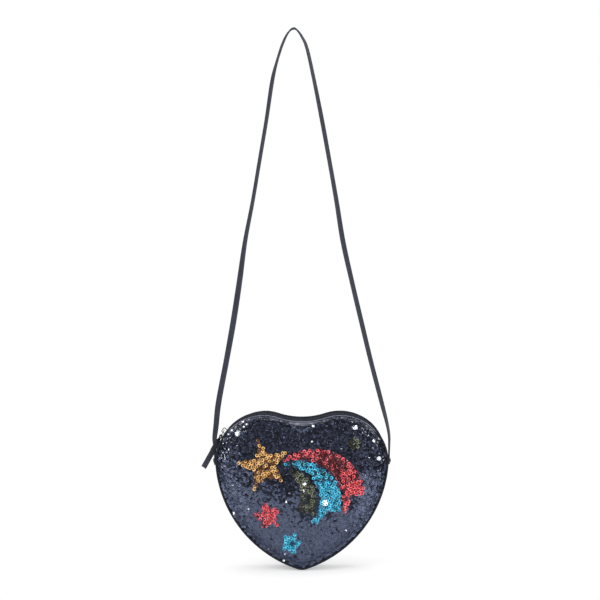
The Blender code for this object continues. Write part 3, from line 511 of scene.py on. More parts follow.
class HeartOutline:
    """The bag's outline seen from the front, as arcs from the tip over a lobe to the notch."""

    def __init__(self, sizes):
        self.lobe_radius = sizes.lobe_radius
        self.lobe_offset = sizes.lobe_offset
        reach = sizes.side_radius - sizes.lobe_radius
        side_x = sizes.lobe_offset - reach * math.cos(sizes.side_start)
        side_z = -reach * math.sin(sizes.side_start)
        tip_z = side_z - math.sqrt((sizes.side_radius - sizes.tip_radius) ** 2 - side_x ** 2)
        tip_turn = math.atan2(tip_z - side_z, -side_x)
        notch_z = sizes.lobe_radius - sizes.notch_depth
        notch_square = notch_z ** 2 + sizes.lobe_offset ** 2 - sizes.lobe_radius ** 2
        notch_radius = notch_square / (2 * sizes.notch_depth)
        notch_centre = notch_z + notch_radius
        turn = math.atan2(notch_centre, -sizes.lobe_offset)
        self.tip = ((0.0, tip_z), sizes.tip_radius, -math.pi / 2, tip_turn, True)
        self.side = ((side_x, side_z), sizes.side_radius, tip_turn, sizes.side_start, True)
        self.lobe = ((sizes.lobe_offset, 0.0), sizes.lobe_radius, sizes.side_start, turn, True)
        self.notch = ((0.0, notch_centre), notch_radius, turn - math.pi, -math.pi / 2, False)

    def stretch(self, arc, first, last, steps):
        """Evenly spaced stations along an arc, the last one left out."""
        centre, radius, _, _, convex = arc
        return [(centre, radius, first + (last - first) * step / steps, convex) for step in range(steps)]

    def arc(self, arc, steps):
        """Stations along a whole arc."""
        return self.stretch(arc, arc[2], arc[3], steps)

    def around(self):
        """Stations all the way round, each corner once."""
        right = self.arc(self.tip, TIP_STEPS) + self.arc(self.side, SIDE_STEPS)
        right += self.arc(self.lobe, LOBE_STEPS) + self.arc(self.notch, NOTCH_STEPS)
        right += self.stretch(self.notch, self.notch[3], self.notch[3], 1)
        return right + [self.mirrored(station) for station in reversed(right[1:-1])]

    def lower(self):
        """Stations of the lower gusset, from the left join round the tip to the right join."""
        right = self.arc(self.tip, TIP_STEPS) + self.arc(self.side, SIDE_STEPS)
        right += self.stretch(self.lobe, self.lobe[2], JOIN_ANGLE, JOIN_STEPS)
        right += self.stretch(self.lobe, JOIN_ANGLE, JOIN_ANGLE, 1)
        return [self.mirrored(station) for station in reversed(right[1:])] + right

    def upper(self, start):
        """Stations over the top, from an angle on the right lobe across the notch to the left lobe."""
        right = self.stretch(self.lobe, start, self.lobe[3], LOBE_STEPS)
        right += self.arc(self.notch, NOTCH_STEPS)
        right += self.stretch(self.notch, self.notch[3], self.notch[3], 1)
        return right + [self.mirrored(station) for station in reversed(right[:-1])]

    def on_lobe(self, first, last, steps, left):
        """Stations of a short stretch of one lobe, both ends included."""
        stations = self.stretch(self.lobe, first, last, steps) + self.stretch(self.lobe, last, last, 1)
        return [self.mirrored(station) for station in stations] if left else stations

    @staticmethod
    def mirrored(station):
        """The same station on the left half."""
        (centre_x, centre_z), radius, angle, convex = station
        return ((-centre_x, centre_z), radius, math.pi - angle, convex)

    @staticmethod
    def point(station, inset, y=0.0):
        """Point of the outline at a station, moved in by inset, in the room's coordinates."""
        (centre_x, centre_z), radius, angle, convex = station
        reach = radius - inset if convex else radius + inset
        return HINGE + Vector((centre_x + reach * math.cos(angle), y, centre_z + reach * math.sin(angle)))

    @staticmethod
    def outwards(station):
        """Direction away from the bag at a station."""
        _, _, angle, convex = station
        away = 1.0 if convex else -1.0
        return Vector((math.cos(angle) * away, 0.0, math.sin(angle) * away))


def smooth_between(before, start, end, after, share):
    """A place between start and end on the smooth curve through four places in a row."""
    spot = []
    for p_0, p_1, p_2, p_3 in zip(before, start, end, after):
        cubic = 2 * p_1 + (p_2 - p_0) * share
        cubic += (2 * p_0 - 5 * p_1 + 4 * p_2 - p_3) * share ** 2
        cubic += (3 * p_1 - p_0 - 3 * p_2 + p_3) * share ** 3
        spot.append(cubic / 2)
    return tuple(spot)


def star_outline(star):
    """Five tips and five waists."""
    centre_x, centre_z, tip_radius, waist_radius, turn = star
    corners = []
    for index in range(10):
        radius = tip_radius if index % 2 == 0 else waist_radius
        angle = math.radians(turn + index * 36)
        corners.append((centre_x + radius * math.cos(angle), centre_z + radius * math.sin(angle)))
    return corners


def bowed_edge(start, end, bow):
    """Points along a circular arc from start to end that bows to the left of that direction."""
    start, end = Vector(start), Vector(end)
    chord = end - start
    half = chord.length / 2
    radius = (half * half + bow * bow) / (2 * bow)
    sideways = Vector((-chord.y, chord.x)).normalized()
    centre = (start + end) / 2 - sideways * (radius - bow)
    sweep = -2 * math.atan2(half, radius - bow)
    return [tuple(centre + Matrix.Rotation(sweep * step / BOW_STEPS, 2) @ (start - centre))
            for step in range(BOW_STEPS + 1)]


def tail_outline(tail):
    """A curved tail between two bowed edges that ends in a fork."""
    head, outer_tip, inner_tip, outer_bow, inner_bow, fork = tail
    outer = bowed_edge(head, outer_tip, outer_bow)
    inner = bowed_edge(head, inner_tip, inner_bow)
    across = Vector(inner_tip) - Vector(outer_tip)
    inwards = Vector((across.y, -across.x)).normalized()
    notch = (Vector(outer_tip) + Vector(inner_tip)) / 2 + inwards * fork
    return outer + [tuple(notch)] + list(reversed(inner[1:]))


def fork_strip(start, end):
    """The inner arm of a tail's fork, drawn out to an even width."""
    start, end = Vector(start), Vector(end)
    along = (end - start).normalized()
    aside = Vector((-along.y, along.x)) * FORK_HALF_WIDTH
    return [tuple(corner) for corner in (start - aside, end - aside, end + aside, start + aside)]


def drawn_in(corners, depth):
    """Corners of a flat shape moved inwards, sharp ones by no more than twice the depth."""
    area = sum(x * corners[index - 1][1] - z * corners[index - 1][0] for index, (x, z) in enumerate(corners))
    way = -1.0 if area > 0 else 1.0
    moved = []
    for index, corner in enumerate(corners):
        here = Vector(corner)
        before = (here - Vector(corners[index - 1])).normalized()
        after = (Vector(corners[(index + 1) % len(corners)]) - here).normalized()
        sideways = Vector((-before.y - after.y, before.x + after.x))
        reach = depth / max(0.5, sideways.length / 2)
        moved.append(tuple(here + sideways.normalized() * reach * way))
    return moved


def share_of(value, low, high):
    """How far a value is on its way from low to high, from 0 to 1."""
    return min(1.0, max(0.0, (value - low) / (high - low)))


# Mesh helpers

def loft(sections, closed=False):
    """Join rings of points into a tube: a closed loop, or a bar with a face on each end."""
    count = len(sections[0])
    points = [point for section in sections for point in section]
    faces = []
    spans = len(sections) if closed else len(sections) - 1
    for index in range(spans):
        here = index * count
        there = ((index + 1) % len(sections)) * count
        for side in range(count):
            follow = (side + 1) % count
            faces.append((here + side, here + follow, there + follow, there + side))
    if not closed:
        faces.append(tuple(reversed(range(count))))
        faces.append(tuple(range(len(points) - count, len(points))))
    return points, faces


def new_object(name, data):
    """An object for a mesh, a light or a camera, put in the scene."""
    made = bpy.data.objects.new(name, data)
    bpy.context.scene.collection.objects.link(made)
    return made


def mesh_object(name, points, faces, material=None, sharp=None):
    """A smooth-shaded object at the origin whose closed mesh faces outwards."""
    mesh = bpy.data.meshes.new(name)
    mesh.from_pydata([tuple(point) for point in points], [], faces)
    work = bmesh.new()
    work.from_mesh(mesh)
    bmesh.ops.recalc_face_normals(work, faces=work.faces)
    work.to_mesh(mesh)
    work.free()
    mesh.shade_smooth()
    if sharp is not None:
        mesh.set_sharp_from_angle(angle=math.radians(sharp))
    if material is not None:
        mesh.materials.append(material)
    return new_object(name, mesh)


def lofted(name, sections, finish_name, sharp=None, closed=False):
    """A piece lofted through rings of points, in one of the finishes."""
    points, faces = loft(sections, closed)
    return mesh_object(name, points, faces, finish(finish_name), sharp)


def circle(corners):
    """Angles of even steps round a circle."""
    return [2 * math.pi * step / corners for step in range(corners)]


def set_attribute(made, name, values):
    """Store one number for each point of a mesh."""
    layer = made.data.attributes.new(name, "FLOAT", "POINT")
    layer.data.foreach_set("value", values)


def place(made, body, slot, *nodes):
    """Hang a finished piece on its body, in the place of CAD nodes; the slot is not used."""
    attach(made, body)
    if nodes:
        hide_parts(*nodes)


def bevelled(made, width, segments):
    """Round a piece's sharp edges and keep the result as its mesh."""
    bevel = made.modifiers.new("Rounded edges", "BEVEL")
    bevel.width = width
    bevel.segments = segments
    bevel.limit_method = "ANGLE"
    bevel.angle_limit = math.radians(30)
    return applied(made)


def applied(made):
    """Turn an object's modifiers into its plain mesh."""
    graph = bpy.context.evaluated_depsgraph_get()
    result = bpy.data.meshes.new_from_object(made.evaluated_get(graph))
    old = made.data
    made.modifiers.clear()
    made.data = result
    result.name = made.name
    bpy.data.meshes.remove(old)
    return made


def node_copy(node, name, finish_name):
    """A merged copy of a CAD node's mesh, to be finished as a new piece."""
    mesh = frame["nodes"][node].data.copy()
    mesh.name = name
    work = bmesh.new()
    work.from_mesh(mesh)
    bmesh.ops.remove_doubles(work, verts=work.verts, dist=0.00001)
    bmesh.ops.dissolve_limit(work, angle_limit=math.radians(1), verts=work.verts, edges=work.edges)
    work.to_mesh(mesh)
    work.free()
    mesh.materials.clear()
    mesh.materials.append(finish(finish_name))
    return new_object(name, mesh)


# Node helpers

def connect(tree, node, inputs):
    """Link or set a node's inputs, by name or number."""
    for key, value in inputs.items():
        if isinstance(value, bpy.types.NodeSocket):
            tree.links.new(value, node.inputs[key])
        else:
            node.inputs[key].default_value = value


def add(tree, kind, inputs=None, **settings):
    """Add a node with its settings and connect its inputs."""
    made = tree.nodes.new(kind)
    for key, value in settings.items():
        setattr(made, key, value)
    connect(tree, made, inputs or {})
    return made


def out(tree, kind, inputs=None, **settings):
    """The first output of a new node."""
    return add(tree, kind, inputs, **settings).outputs[0]


def maths(tree, operation, first, second=0.0, third=None):
    """The result of one sum."""
    inputs = {0: first, 1: second}
    if third is not None:
        inputs[2] = third
    return out(tree, "ShaderNodeMath", inputs, operation=operation)


def times(tree, first, second):
    """The product of two values."""
    return maths(tree, "MULTIPLY", first, second)


def times_plus(tree, value, factor, start):
    """A value times a factor, added to a start."""
    return maths(tree, "MULTIPLY_ADD", value, factor, start)


def ramp(tree, value, low, high, first=0.0, last=1.0):
    """A smooth step from first to last as a value goes from low to high."""
    made = add(tree, "ShaderNodeMapRange", {0: value, 1: low, 2: high, 3: first, 4: last})
    made.interpolation_type = "SMOOTHSTEP"
    return made.outputs[0]


def mix_colour(tree, factor, first, second):
    """A blend of two colours."""
    made = add(tree, "ShaderNodeMix", {0: factor, 6: first, 7: second}, data_type="RGBA")
    return made.outputs[2]


def scaled(tree, vector, factor):
    """A vector made longer or shorter."""
    return out(tree, "ShaderNodeVectorMath", {0: vector, 3: factor}, operation="SCALE")


def flattened(tree, spot, kept):
    """A place without the coordinates whose kept value is 0."""
    return out(tree, "ShaderNodeVectorMath", {0: spot, 1: kept}, operation="MULTIPLY")


def distance(tree, first, second):
    """The distance between two places."""
    return add(tree, "ShaderNodeVectorMath", {0: first, 1: second}, operation="DISTANCE").outputs["Value"]


def patch(tree, level, x, z, full, gone, amount):
    """An amount round one place on the front, whole as far as full and nothing from gone on."""
    return ramp(tree, distance(tree, level, (HINGE.x + x, 0.0, HINGE.z + z)), full, gone, amount, 0.0)


def object_place(tree):
    """The shaded point in the object's own coordinates."""
    return add(tree, "ShaderNodeTexCoord").outputs["Object"]


def noise(tree, spot, scale, detail, output="Fac"):
    """Cloudy noise."""
    return add(tree, "ShaderNodeTexNoise", {"Vector": spot, "Scale": scale, "Detail": detail}).outputs[output]


def streaks(tree, spot, stretch, detail):
    """Noise drawn out along the axes where its stretch is small."""
    drawn = out(tree, "ShaderNodeMapping", {"Vector": spot, "Scale": stretch})
    return noise(tree, drawn, 1.0, detail)


def relief(tree, height, strength, depth=0.0002):
    """A surface normal bumped by a height."""
    return out(tree, "ShaderNodeBump", {"Height": height, "Strength": strength, "Distance": depth})


def attribute(tree, name):
    """The value of a mesh attribute in a material."""
    return add(tree, "ShaderNodeAttribute", attribute_name=name).outputs["Fac"]


def new_group(name, kind, inputs, outputs):
    """A node group's tree with its input sockets, each with its default, and its output node."""
    tree = bpy.data.node_groups.new(name, kind)
    for label, socket_type, default in inputs:
        socket = tree.interface.new_socket(name=label, in_out="INPUT", socket_type="NodeSocket" + socket_type)
        if default is not None:
            socket.default_value = default
    for label, socket_type in outputs:
        tree.interface.new_socket(name=label, in_out="OUTPUT", socket_type="NodeSocket" + socket_type)
    return tree, tree.nodes.new("NodeGroupInput").outputs, tree.nodes.new("NodeGroupOutput")


def group_node(tree, group, inputs):
    """The outputs of a group that is placed in a material with its own values."""
    made = add(tree, "ShaderNodeGroup")
    made.node_tree = group
    connect(tree, made, inputs)
    return made.outputs


def shade(colour, factor):
    """A darker or lighter copy of a colour."""
    return tuple(min(1.0, value * factor) for value in colour)


def rgba(colour, factor=1.0):
    """A colour with full opacity, made darker or lighter by a factor."""
    return (*shade(colour, factor), 1.0)


# Shader groups

@cache
def grain_group():
    """Leather grain: pebbles between fine creases, with pores."""
    tree, source, result = new_group(
        "Leather grain", "ShaderNodeTree", [("Scale", "Float", 1400.0), ("Crease", "Float", 0.12)],
        [("Height", "Float"), ("Shade", "Float")])
    spot = object_place(tree)
    bend = scaled(tree, noise(tree, spot, 260.0, 2.0, "Color"), 0.0012)
    shifted = out(tree, "ShaderNodeVectorMath", {0: spot, 1: bend}, operation="ADD")
    cells = add(tree, "ShaderNodeTexVoronoi", {"Vector": shifted, "Scale": source["Scale"]},
                feature="DISTANCE_TO_EDGE")
    pebbles = ramp(tree, cells.outputs["Distance"], 0.0, source["Crease"])
    patches = ramp(tree, noise(tree, spot, 90.0, 4.0), 0.3, 0.7, 0.4, 0.9)
    connect(tree, result, {
        "Height": times_plus(tree, noise(tree, spot, 5200.0, 3.0), 0.35, pebbles),
        "Shade": times_plus(tree, pebbles, 0.3, patches)})
    return tree


@cache
def wear_and_light_group():
    """Scuffed edges and painted light: where the edge attribute is high, broken up by noise."""
    tree, source, result = new_group(
        "Edge wear", "ShaderNodeTree", [("Amount", "Float", 0.5), ("Break up", "Float", 0.5)],
        [("Mask", "Float")])
    uneven = maths(tree, "SUBTRACT", noise(tree, object_place(tree), 420.0, 5.0), 0.5)
    broken = times_plus(tree, uneven, source["Break up"], attribute(tree, "edge"))
    connect(tree, result, {"Mask": times(tree, ramp(tree, broken, 0.45, 0.95), source["Amount"])})
    return tree


@cache
def weave_group():
    """Plain weave: two sets of threads that pass over each other."""
    tree, source, result = new_group(
        "Plain weave", "ShaderNodeTree", [("Scale", "Float", 900.0)],
        [("Height", "Float"), ("Shade", "Float")])
    spot = object_place(tree)
    across, up = [
        add(tree, "ShaderNodeTexWave", {
            "Vector": spot, "Scale": source["Scale"], "Distortion": 0.6, "Detail": 1.0},
            bands_direction=direction).outputs["Fac"]
        for direction in ("X", "Z")]
    height = maths(tree, "MAXIMUM", across, up)
    connect(tree, result, {
        "Height": height,
        "Shade": times_plus(tree, noise(tree, spot, 700.0, 3.0), 0.5, times(tree, height, 0.5))})
    return tree


@cache
def sequin_group():
    """Sequin colours: each disc has its own shade, a lit side and a shaded side, and some catch the light."""
    tree, source, result = new_group(
        "Sequin colours", "ShaderNodeTree",
        [("Bright", "Color", WHITE), ("Dark", "Color", BLACK), ("Dark share", "Float", 0.4),
         ("Patchiness", "Float", 0.5), ("Rim light", "Float", 0.5), ("Lit share", "Float", 1.0),
         ("Far side", "Float", 0.5), ("Local shade", "Float", 0.0), ("Pale", "Color", WHITE)],
        [("Colour", "Color"), ("Roughness", "Float"), ("Light", "Float")])
    chance = attribute(tree, "sequin_random")
    side = attribute(tree, "sequin_side")
    rim = ramp(tree, attribute(tree, "sequin_ring"), 0.1, 0.8)
    cloud = maths(tree, "SUBTRACT", noise(tree, object_place(tree), 75.0, 1.0), 0.5)
    drift = times_plus(tree, cloud, source["Patchiness"], source["Local shade"])
    share = source["Dark share"]
    turned = ramp(tree, maths(tree, "ADD", chance, drift), maths(tree, "SUBTRACT", share, 0.14),
                  maths(tree, "ADD", share, 0.14))
    colour = mix_colour(tree, turned, source["Dark"], source["Bright"])
    far = times(tree, ramp(tree, side, 0.1, -0.9), source["Far side"])
    colour = mix_colour(tree, far, colour, source["Dark"])
    arc = times(tree, ramp(tree, side, 0.25, 0.95), rim)
    other = maths(tree, "FRACT", times(tree, chance, 7.13))
    unlit = maths(tree, "SUBTRACT", 1.0, source["Lit share"])
    lit = times(tree, arc, ramp(tree, other, unlit, maths(tree, "ADD", unlit, 0.25)))
    lit = times(tree, lit, source["Rim light"])
    colour = mix_colour(tree, lit, colour, mix_colour(tree, 0.35, source["Bright"], source["Pale"]))
    glint = times(tree, attribute(tree, "sequin_glint"), arc)
    sparkle = maths(tree, "SUBTRACT", times(tree, attribute(tree, "sparkle"), 1.6), other)
    sparkle = maths(tree, "MINIMUM", 1.0, maths(tree, "MAXIMUM", 0.0, sparkle))
    light = maths(tree, "MAXIMUM", sparkle, glint)
    connect(tree, result, {
        "Colour": mix_colour(tree, light, colour, (0.88, 0.94, 1.0, 1.0)),
        "Roughness": times_plus(tree, chance, 0.2, 0.28),
        "Light": light})
    return tree


# Materials

def blank_material(name):
    """A material with only its Principled shader; its tree and that shader."""
    made = bpy.data.materials.new(name)
    made.use_nodes = True
    return made, made.node_tree, made.node_tree.nodes["Principled BSDF"]


def leather_material(name, colour, edge_colour, scale=1400.0, bump=0.25, roughness=0.45, wear_and_light=0.5, gloss=0.08):
    """Imitation leather with grain, faint mottling and an edge colour where the edge attribute is high:
    scuffed edges, a painted highlight on the front piping and painted light on the strap's right leg.
    """
    made, tree, shader = blank_material(name)
    grain = group_node(tree, grain_group(), {"Scale": scale})
    rubbed_and_lit = group_node(tree, wear_and_light_group(), {"Amount": wear_and_light})["Mask"]
    base = mix_colour(tree, grain["Shade"], rgba(colour, 0.65), rgba(colour, 1.7))
    connect(tree, shader, {
        "Base Color": mix_colour(tree, rubbed_and_lit, base, rgba(edge_colour)),
        "Roughness": times_plus(tree, grain["Shade"], 0.15, roughness - 0.08),
        "Specular IOR Level": gloss,
        "Normal": relief(tree, grain["Height"], bump)})
    return made


def cloth_material(name, colour, scale=900.0):
    """Plain woven cloth."""
    made, tree, shader = blank_material(name)
    weave = group_node(tree, weave_group(), {"Scale": scale})
    connect(tree, shader, {
        "Base Color": mix_colour(tree, weave["Shade"], rgba(colour, 0.55), rgba(colour, 1.5)),
        "Roughness": times_plus(tree, weave["Shade"], 0.1, 0.85),
        "Normal": relief(tree, weave["Height"], 0.3)})
    return made


def metal_material(name, colour):
    """Plated zinc with fine scratches and cloudy patches."""
    made, tree, shader = blank_material(name)
    spot = object_place(tree)
    cloud = noise(tree, spot, 350.0, 4.0)
    connect(tree, shader, {
        "Base Color": mix_colour(tree, cloud, rgba(colour, 0.7), rgba(colour, 1.25)),
        "Metallic": 0.6,
        "Specular IOR Level": 0.2,
        "Roughness": times_plus(tree, cloud, 0.3, 0.18),
        "Normal": relief(tree, streaks(tree, spot, (400.0, 400.0, 6000.0), 2.0), 0.06, 0.0001)})
    return made


def thread_material(name, colour):
    """Twisted sewing thread."""
    made, tree, shader = blank_material(name)
    twist = noise(tree, object_place(tree), 3500.0, 2.0)
    connect(tree, shader, {
        "Base Color": mix_colour(tree, twist, rgba(colour, 0.6), rgba(colour, 1.6)),
        "Roughness": times_plus(tree, twist, 0.2, 0.5)})
    return made


def board_material(name, colour, scale):
    """Pressed board with fine mottled fibres."""
    made, tree, shader = blank_material(name)
    spot = object_place(tree)
    cells = add(tree, "ShaderNodeTexVoronoi", {"Vector": spot, "Scale": scale}).outputs["Distance"]
    fibre = noise(tree, spot, scale / 3, 5.0)
    connect(tree, shader, {
        "Base Color": mix_colour(tree, fibre, rgba(colour, 0.8), rgba(colour)),
        "Roughness": times_plus(tree, fibre, 0.15, 0.8),
        "Normal": relief(tree, cells, 0.3, 0.0003)})
    return made


def panel_cloth_material(colours):
    """Ground cloth of the front: dark under the sequins, painted slate lower down as painted reflection, and
    painted with pale sheen streaks as a painted highlight where it rolls over between the lobes.
    """
    made, tree, shader = blank_material("front_ground_cloth")
    band = attribute(tree, "band")
    spot = object_place(tree)
    height = add(tree, "ShaderNodeSeparateXYZ", {0: spot}).outputs["Z"]
    top = ramp(tree, height, HINGE.z + 0.018, HINGE.z + 0.032)
    low = ramp(tree, height, HINGE.z - 0.020, HINGE.z - 0.060)
    weave = group_node(tree, weave_group(), {"Scale": 1100.0})
    # Painted reflection: the cloth turns slate lower down, as the sequins over it do.
    ground = mix_colour(tree, low, rgba(colours.navy, 0.6), rgba(colours.slate, 0.35))
    # Painted highlight: pale sheen streaks on the rolled rim at the top.
    sheen_streak = ramp(tree, streaks(tree, spot, (90.0, 90.0, 700.0), 3.0), 0.42, 0.66)
    painted_sheen = mix_colour(tree, sheen_streak, (0.105, 0.110, 0.155, 1.0), (0.40, 0.41, 0.48, 1.0))
    rolled = mix_colour(tree, ramp(tree, band, 0.0, 0.30), (0.070, 0.074, 0.105, 1.0), painted_sheen)
    rolled = mix_colour(tree, ramp(tree, band, 1.0, 1.18), rolled, ground)
    rim = mix_colour(tree, top, ground, rolled)
    connect(tree, shader, {
        "Base Color": mix_colour(tree, times(tree, weave["Shade"], 0.30), rim, (0.01, 0.01, 0.02, 1.0)),
        "Roughness": times_plus(tree, ramp(tree, band, 0.9, 1.2), 0.3, 0.4),
        "Specular IOR Level": 0.2,
        "Normal": relief(tree, weave["Height"], 0.12)})
    return made


def foil(name):
    """A glossy foil without its colours; its tree and its shader."""
    made, tree, shader = blank_material(name)
    connect(tree, shader, {"Metallic": 0.15, "Specular IOR Level": 0.3, "Emission Strength": 1.0})
    return made, tree, shader


def foil_look(tree, shader, values):
    """Feed a foil's shader from the sequin group with its own values."""
    look = group_node(tree, sequin_group(), values)
    # The emission makes the painted glints and sparkles glow.
    connect(tree, shader, {
        "Base Color": look["Colour"],
        "Roughness": look["Roughness"],
        "Emission Color": mix_colour(tree, look["Light"], BLACK, (0.86, 0.93, 1.0, 1.0))})


def sequin_material(name, bright, dark, dark_share, rim_light, pale, patches):
    """Holed sequins of one colour in lit and shaded copies, painted brighter or darker in patches as painted
    light and shade: x, z, reach and by how much.
    """
    made, tree, shader = foil(name)
    level = flattened(tree, object_place(tree), (1.0, 0.0, 1.0))
    local = 0.0
    for x, z, reach, amount in patches:
        local = maths(tree, "ADD", patch(tree, level, x, z, reach * 0.6, reach * 1.2, amount), local)
    foil_look(tree, shader, {
        "Bright": rgba(bright), "Dark": rgba(dark), "Dark share": dark_share, "Patchiness": 1.3,
        "Rim light": rim_light, "Lit share": 0.8, "Far side": 0.6, "Local shade": local, "Pale": rgba(pale)})
    return made


def ground_sequin_material(colours):
    """Ground sequins: navy at the top, and painted slate lower down as painted reflection, in lit and shaded
    copies, with a painted highlight near the rims.
    """
    made, tree, shader = foil("navy_sequin_foil")
    lit_reflection = attribute(tree, "sequin_flip")
    connect(tree, shader, {"Metallic": times_plus(tree, lit_reflection, -0.75, 0.90)})
    bright = mix_colour(tree, lit_reflection, rgba(colours.navy, 2.0), rgba(colours.slate))
    # Painted highlight: pale blue on the ground sequins near the rims.
    rim_highlight = times(tree, attribute(tree, "sequin_band"), times_plus(tree, lit_reflection, 0.75, 0.15))
    foil_look(tree, shader, {
        "Bright": mix_colour(tree, rim_highlight, bright, (0.165, 0.198, 0.320, 1.0)),
        "Dark": mix_colour(tree, lit_reflection, rgba(colours.navy, 0.3), rgba(colours.slate, 0.70)),
        "Dark share": 0.55, "Patchiness": 0.4, "Rim light": times_plus(tree, lit_reflection, -0.42, 0.55),
        "Lit share": 0.32, "Far side": 0.35, "Pale": (0.50, 0.62, 0.95, 1.0)})
    return made


@cache
def finish(name):
    """A material by name, made the first time that a piece asks for it."""
    colours = bpy.context.scene.bag_colours
    leather = tuple(colours.leather)
    edge_colour = tuple(colours.leather_worn_and_lit)
    makers = {
        "leather": lambda: leather_material("charcoal_leather", leather, edge_colour),
        "gusset_leather": lambda: leather_material("gusset_leather", leather, edge_colour, gloss=0.0),
        # The strap's leather is a lighter copy of the leather, raised as painted light for its right leg.
        "strap_leather": lambda: leather_material(
            "strap_leather", shade(leather, 1.2), edge_colour, scale=1700.0, bump=0.2, roughness=0.5, wear_and_light=0.7),
        "tab_leather": lambda: leather_material(
            "tab_leather", shade(leather, 1.2), shade(leather, 0.35), scale=1500.0, bump=0.3, roughness=0.5,
            wear_and_light=0.8),
        # The piping's pale edge colour is a painted highlight along the top of the front piping.
        "piping_leather": lambda: leather_material(
            "piping_leather", shade(leather, 0.8), (0.34, 0.35, 0.43), scale=1900.0, bump=0.3, roughness=0.5,
            wear_and_light=0.9, gloss=0.0),
        "lining": lambda: cloth_material("lining_weave", tuple(colours.cloth)),
        "tape": lambda: cloth_material("zip_tape_weave", (0.022, 0.023, 0.030), 1300.0),
        "coil": lambda: thread_material("zip_coil_nylon", (0.030, 0.031, 0.040)),
        "metal": lambda: metal_material("pewter_plate", tuple(colours.metal)),
        "thread": lambda: thread_material("charcoal_thread", (0.030, 0.032, 0.041)),
        "board": lambda: board_material("grey_board", (0.45, 0.36, 0.25), 1500.0),
        "ground": lambda: panel_cloth_material(colours),
        "navy": lambda: ground_sequin_material(colours),
        "gold": lambda: sequin_material(
            "gold_foil", colours.gold, colours.gold_dark, 0.47, 0.55, (1.0, 0.88, 0.62), GOLD_LIGHT_AND_SHADE),
        "red": lambda: sequin_material(
            "red_foil", colours.red, colours.red_dark, 0.48, 0.70, (1.0, 0.70, 0.72), RED_LIGHT_AND_SHADE),
        "cyan": lambda: sequin_material(
            "cyan_foil", colours.cyan, colours.cyan_dark, 0.40, 0.50, (0.75, 0.95, 1.0), CYAN_LIGHT_AND_SHADE),
        "olive": lambda: sequin_material(
            "olive_foil", colours.olive, colours.olive_dark, 0.55, 0.15, (0.90, 0.92, 0.80), OLIVE_LIGHT_AND_SHADE),
    }
    return makers[name]()


# Geometry Nodes trees

def random_number(tree, low, high, seed, salt):
    """A random number for each point, with its own salt added to the seed."""
    salted = maths(tree, "ADD", seed, salt)
    return add(tree, "FunctionNodeRandomValue", {2: low, 3: high, "Seed": salted}).outputs[1]


def random_vector(tree, size, seed, salt):
    """A random vector for each point, up to size either way on each axis."""
    salted = maths(tree, "ADD", seed, salt)
    made = add(tree, "FunctionNodeRandomValue", {0: (-1.0, -1.0, -1.0), 1: (1.0, 1.0, 1.0), "Seed": salted},
               data_type="FLOAT_VECTOR")
    return scaled(tree, made.outputs[0], size)


def named(tree, name, data_type="FLOAT"):
    """A mesh attribute by its name."""
    return out(tree, "GeometryNodeInputNamedAttribute", {"Name": name}, data_type=data_type)


def stored(tree, geometry, name, value, domain="POINT"):
    """Geometry with a named number on each point or instance."""
    made = add(tree, "GeometryNodeStoreNamedAttribute", {"Geometry": geometry, "Name": name, "Value": value},
               data_type="FLOAT", domain=domain)
    return made.outputs[0]


def moved_points(tree, points, spot, direction, height):
    """Points set down on a surface and lifted off it by a height."""
    return out(tree, "GeometryNodeSetPosition", {
        "Geometry": points, "Position": spot, "Offset": scaled(tree, direction, height)})


def in_material(tree, instances, material):
    """Instances made real, in their material."""
    real = out(tree, "GeometryNodeRealizeInstances", {0: instances})
    return out(tree, "GeometryNodeSetMaterial", {"Geometry": real, "Material": material})


def object_geometry(tree, chosen):
    """The geometry of an object that a tree is given."""
    return add(tree, "GeometryNodeObjectInfo", {"Object": chosen}).outputs["Geometry"]


def turned_in_place(tree, rotation, turn):
    """A rotation with a further turn about its own axes."""
    return out(tree, "FunctionNodeRotateRotation", {0: rotation, 1: turn}, rotation_space="LOCAL")


def sequin_disc(tree):
    """A holed and slightly cupped disc one unit across, bent out of a small grid."""
    grid = add(tree, "GeometryNodeMeshGrid", {
        "Size X": 1.0, "Size Y": 1.0, "Vertices X": DISC_CORNERS + 1, "Vertices Y": 2})
    spot = add(tree, "ShaderNodeSeparateXYZ", {0: out(tree, "GeometryNodeInputPosition")}).outputs
    turn = times(tree, spot["X"], -2 * math.pi)
    share = maths(tree, "ADD", spot["Y"], 0.5)
    radius = times_plus(tree, share, DISC_RIM - DISC_HOLE, DISC_HOLE)
    moved = out(tree, "ShaderNodeCombineXYZ", {
        "X": times(tree, radius, maths(tree, "COSINE", turn)),
        "Y": times(tree, radius, maths(tree, "SINE", turn)),
        "Z": times(tree, share, DISC_CUP)})
    ringed = stored(tree, grid.outputs[0], "sequin_ring", share)
    ringed = stored(tree, ringed, "sequin_side", maths(tree, "COSINE", turn))
    bent = out(tree, "GeometryNodeSetPosition", {"Geometry": ringed, "Position": moved})
    return out(tree, "GeometryNodeMergeByDistance", {"Geometry": bent, "Distance": 0.01})


def sparkle_glow(tree, spot, lights):
    """How strongly a place is lit by the nearest sparkle, seen from the front."""
    flat = flattened(tree, spot, (1.0, 0.0, 1.0))
    nearest = out(tree, "GeometryNodeSampleNearest", {0: lights, "Sample Position": flat}, domain="POINT")
    there, spread = [
        out(tree, "GeometryNodeSampleIndex", {"Geometry": lights, "Value": value, "Index": nearest},
            data_type=data_type)
        for value, data_type in (
            (out(tree, "GeometryNodeInputPosition"), "FLOAT_VECTOR"),
            (named(tree, "spread"), "FLOAT"))]
    away = maths(tree, "DIVIDE", distance(tree, flat, there), spread)
    return ramp(tree, away, 0.15, 1.25, 1.0, 0.0)


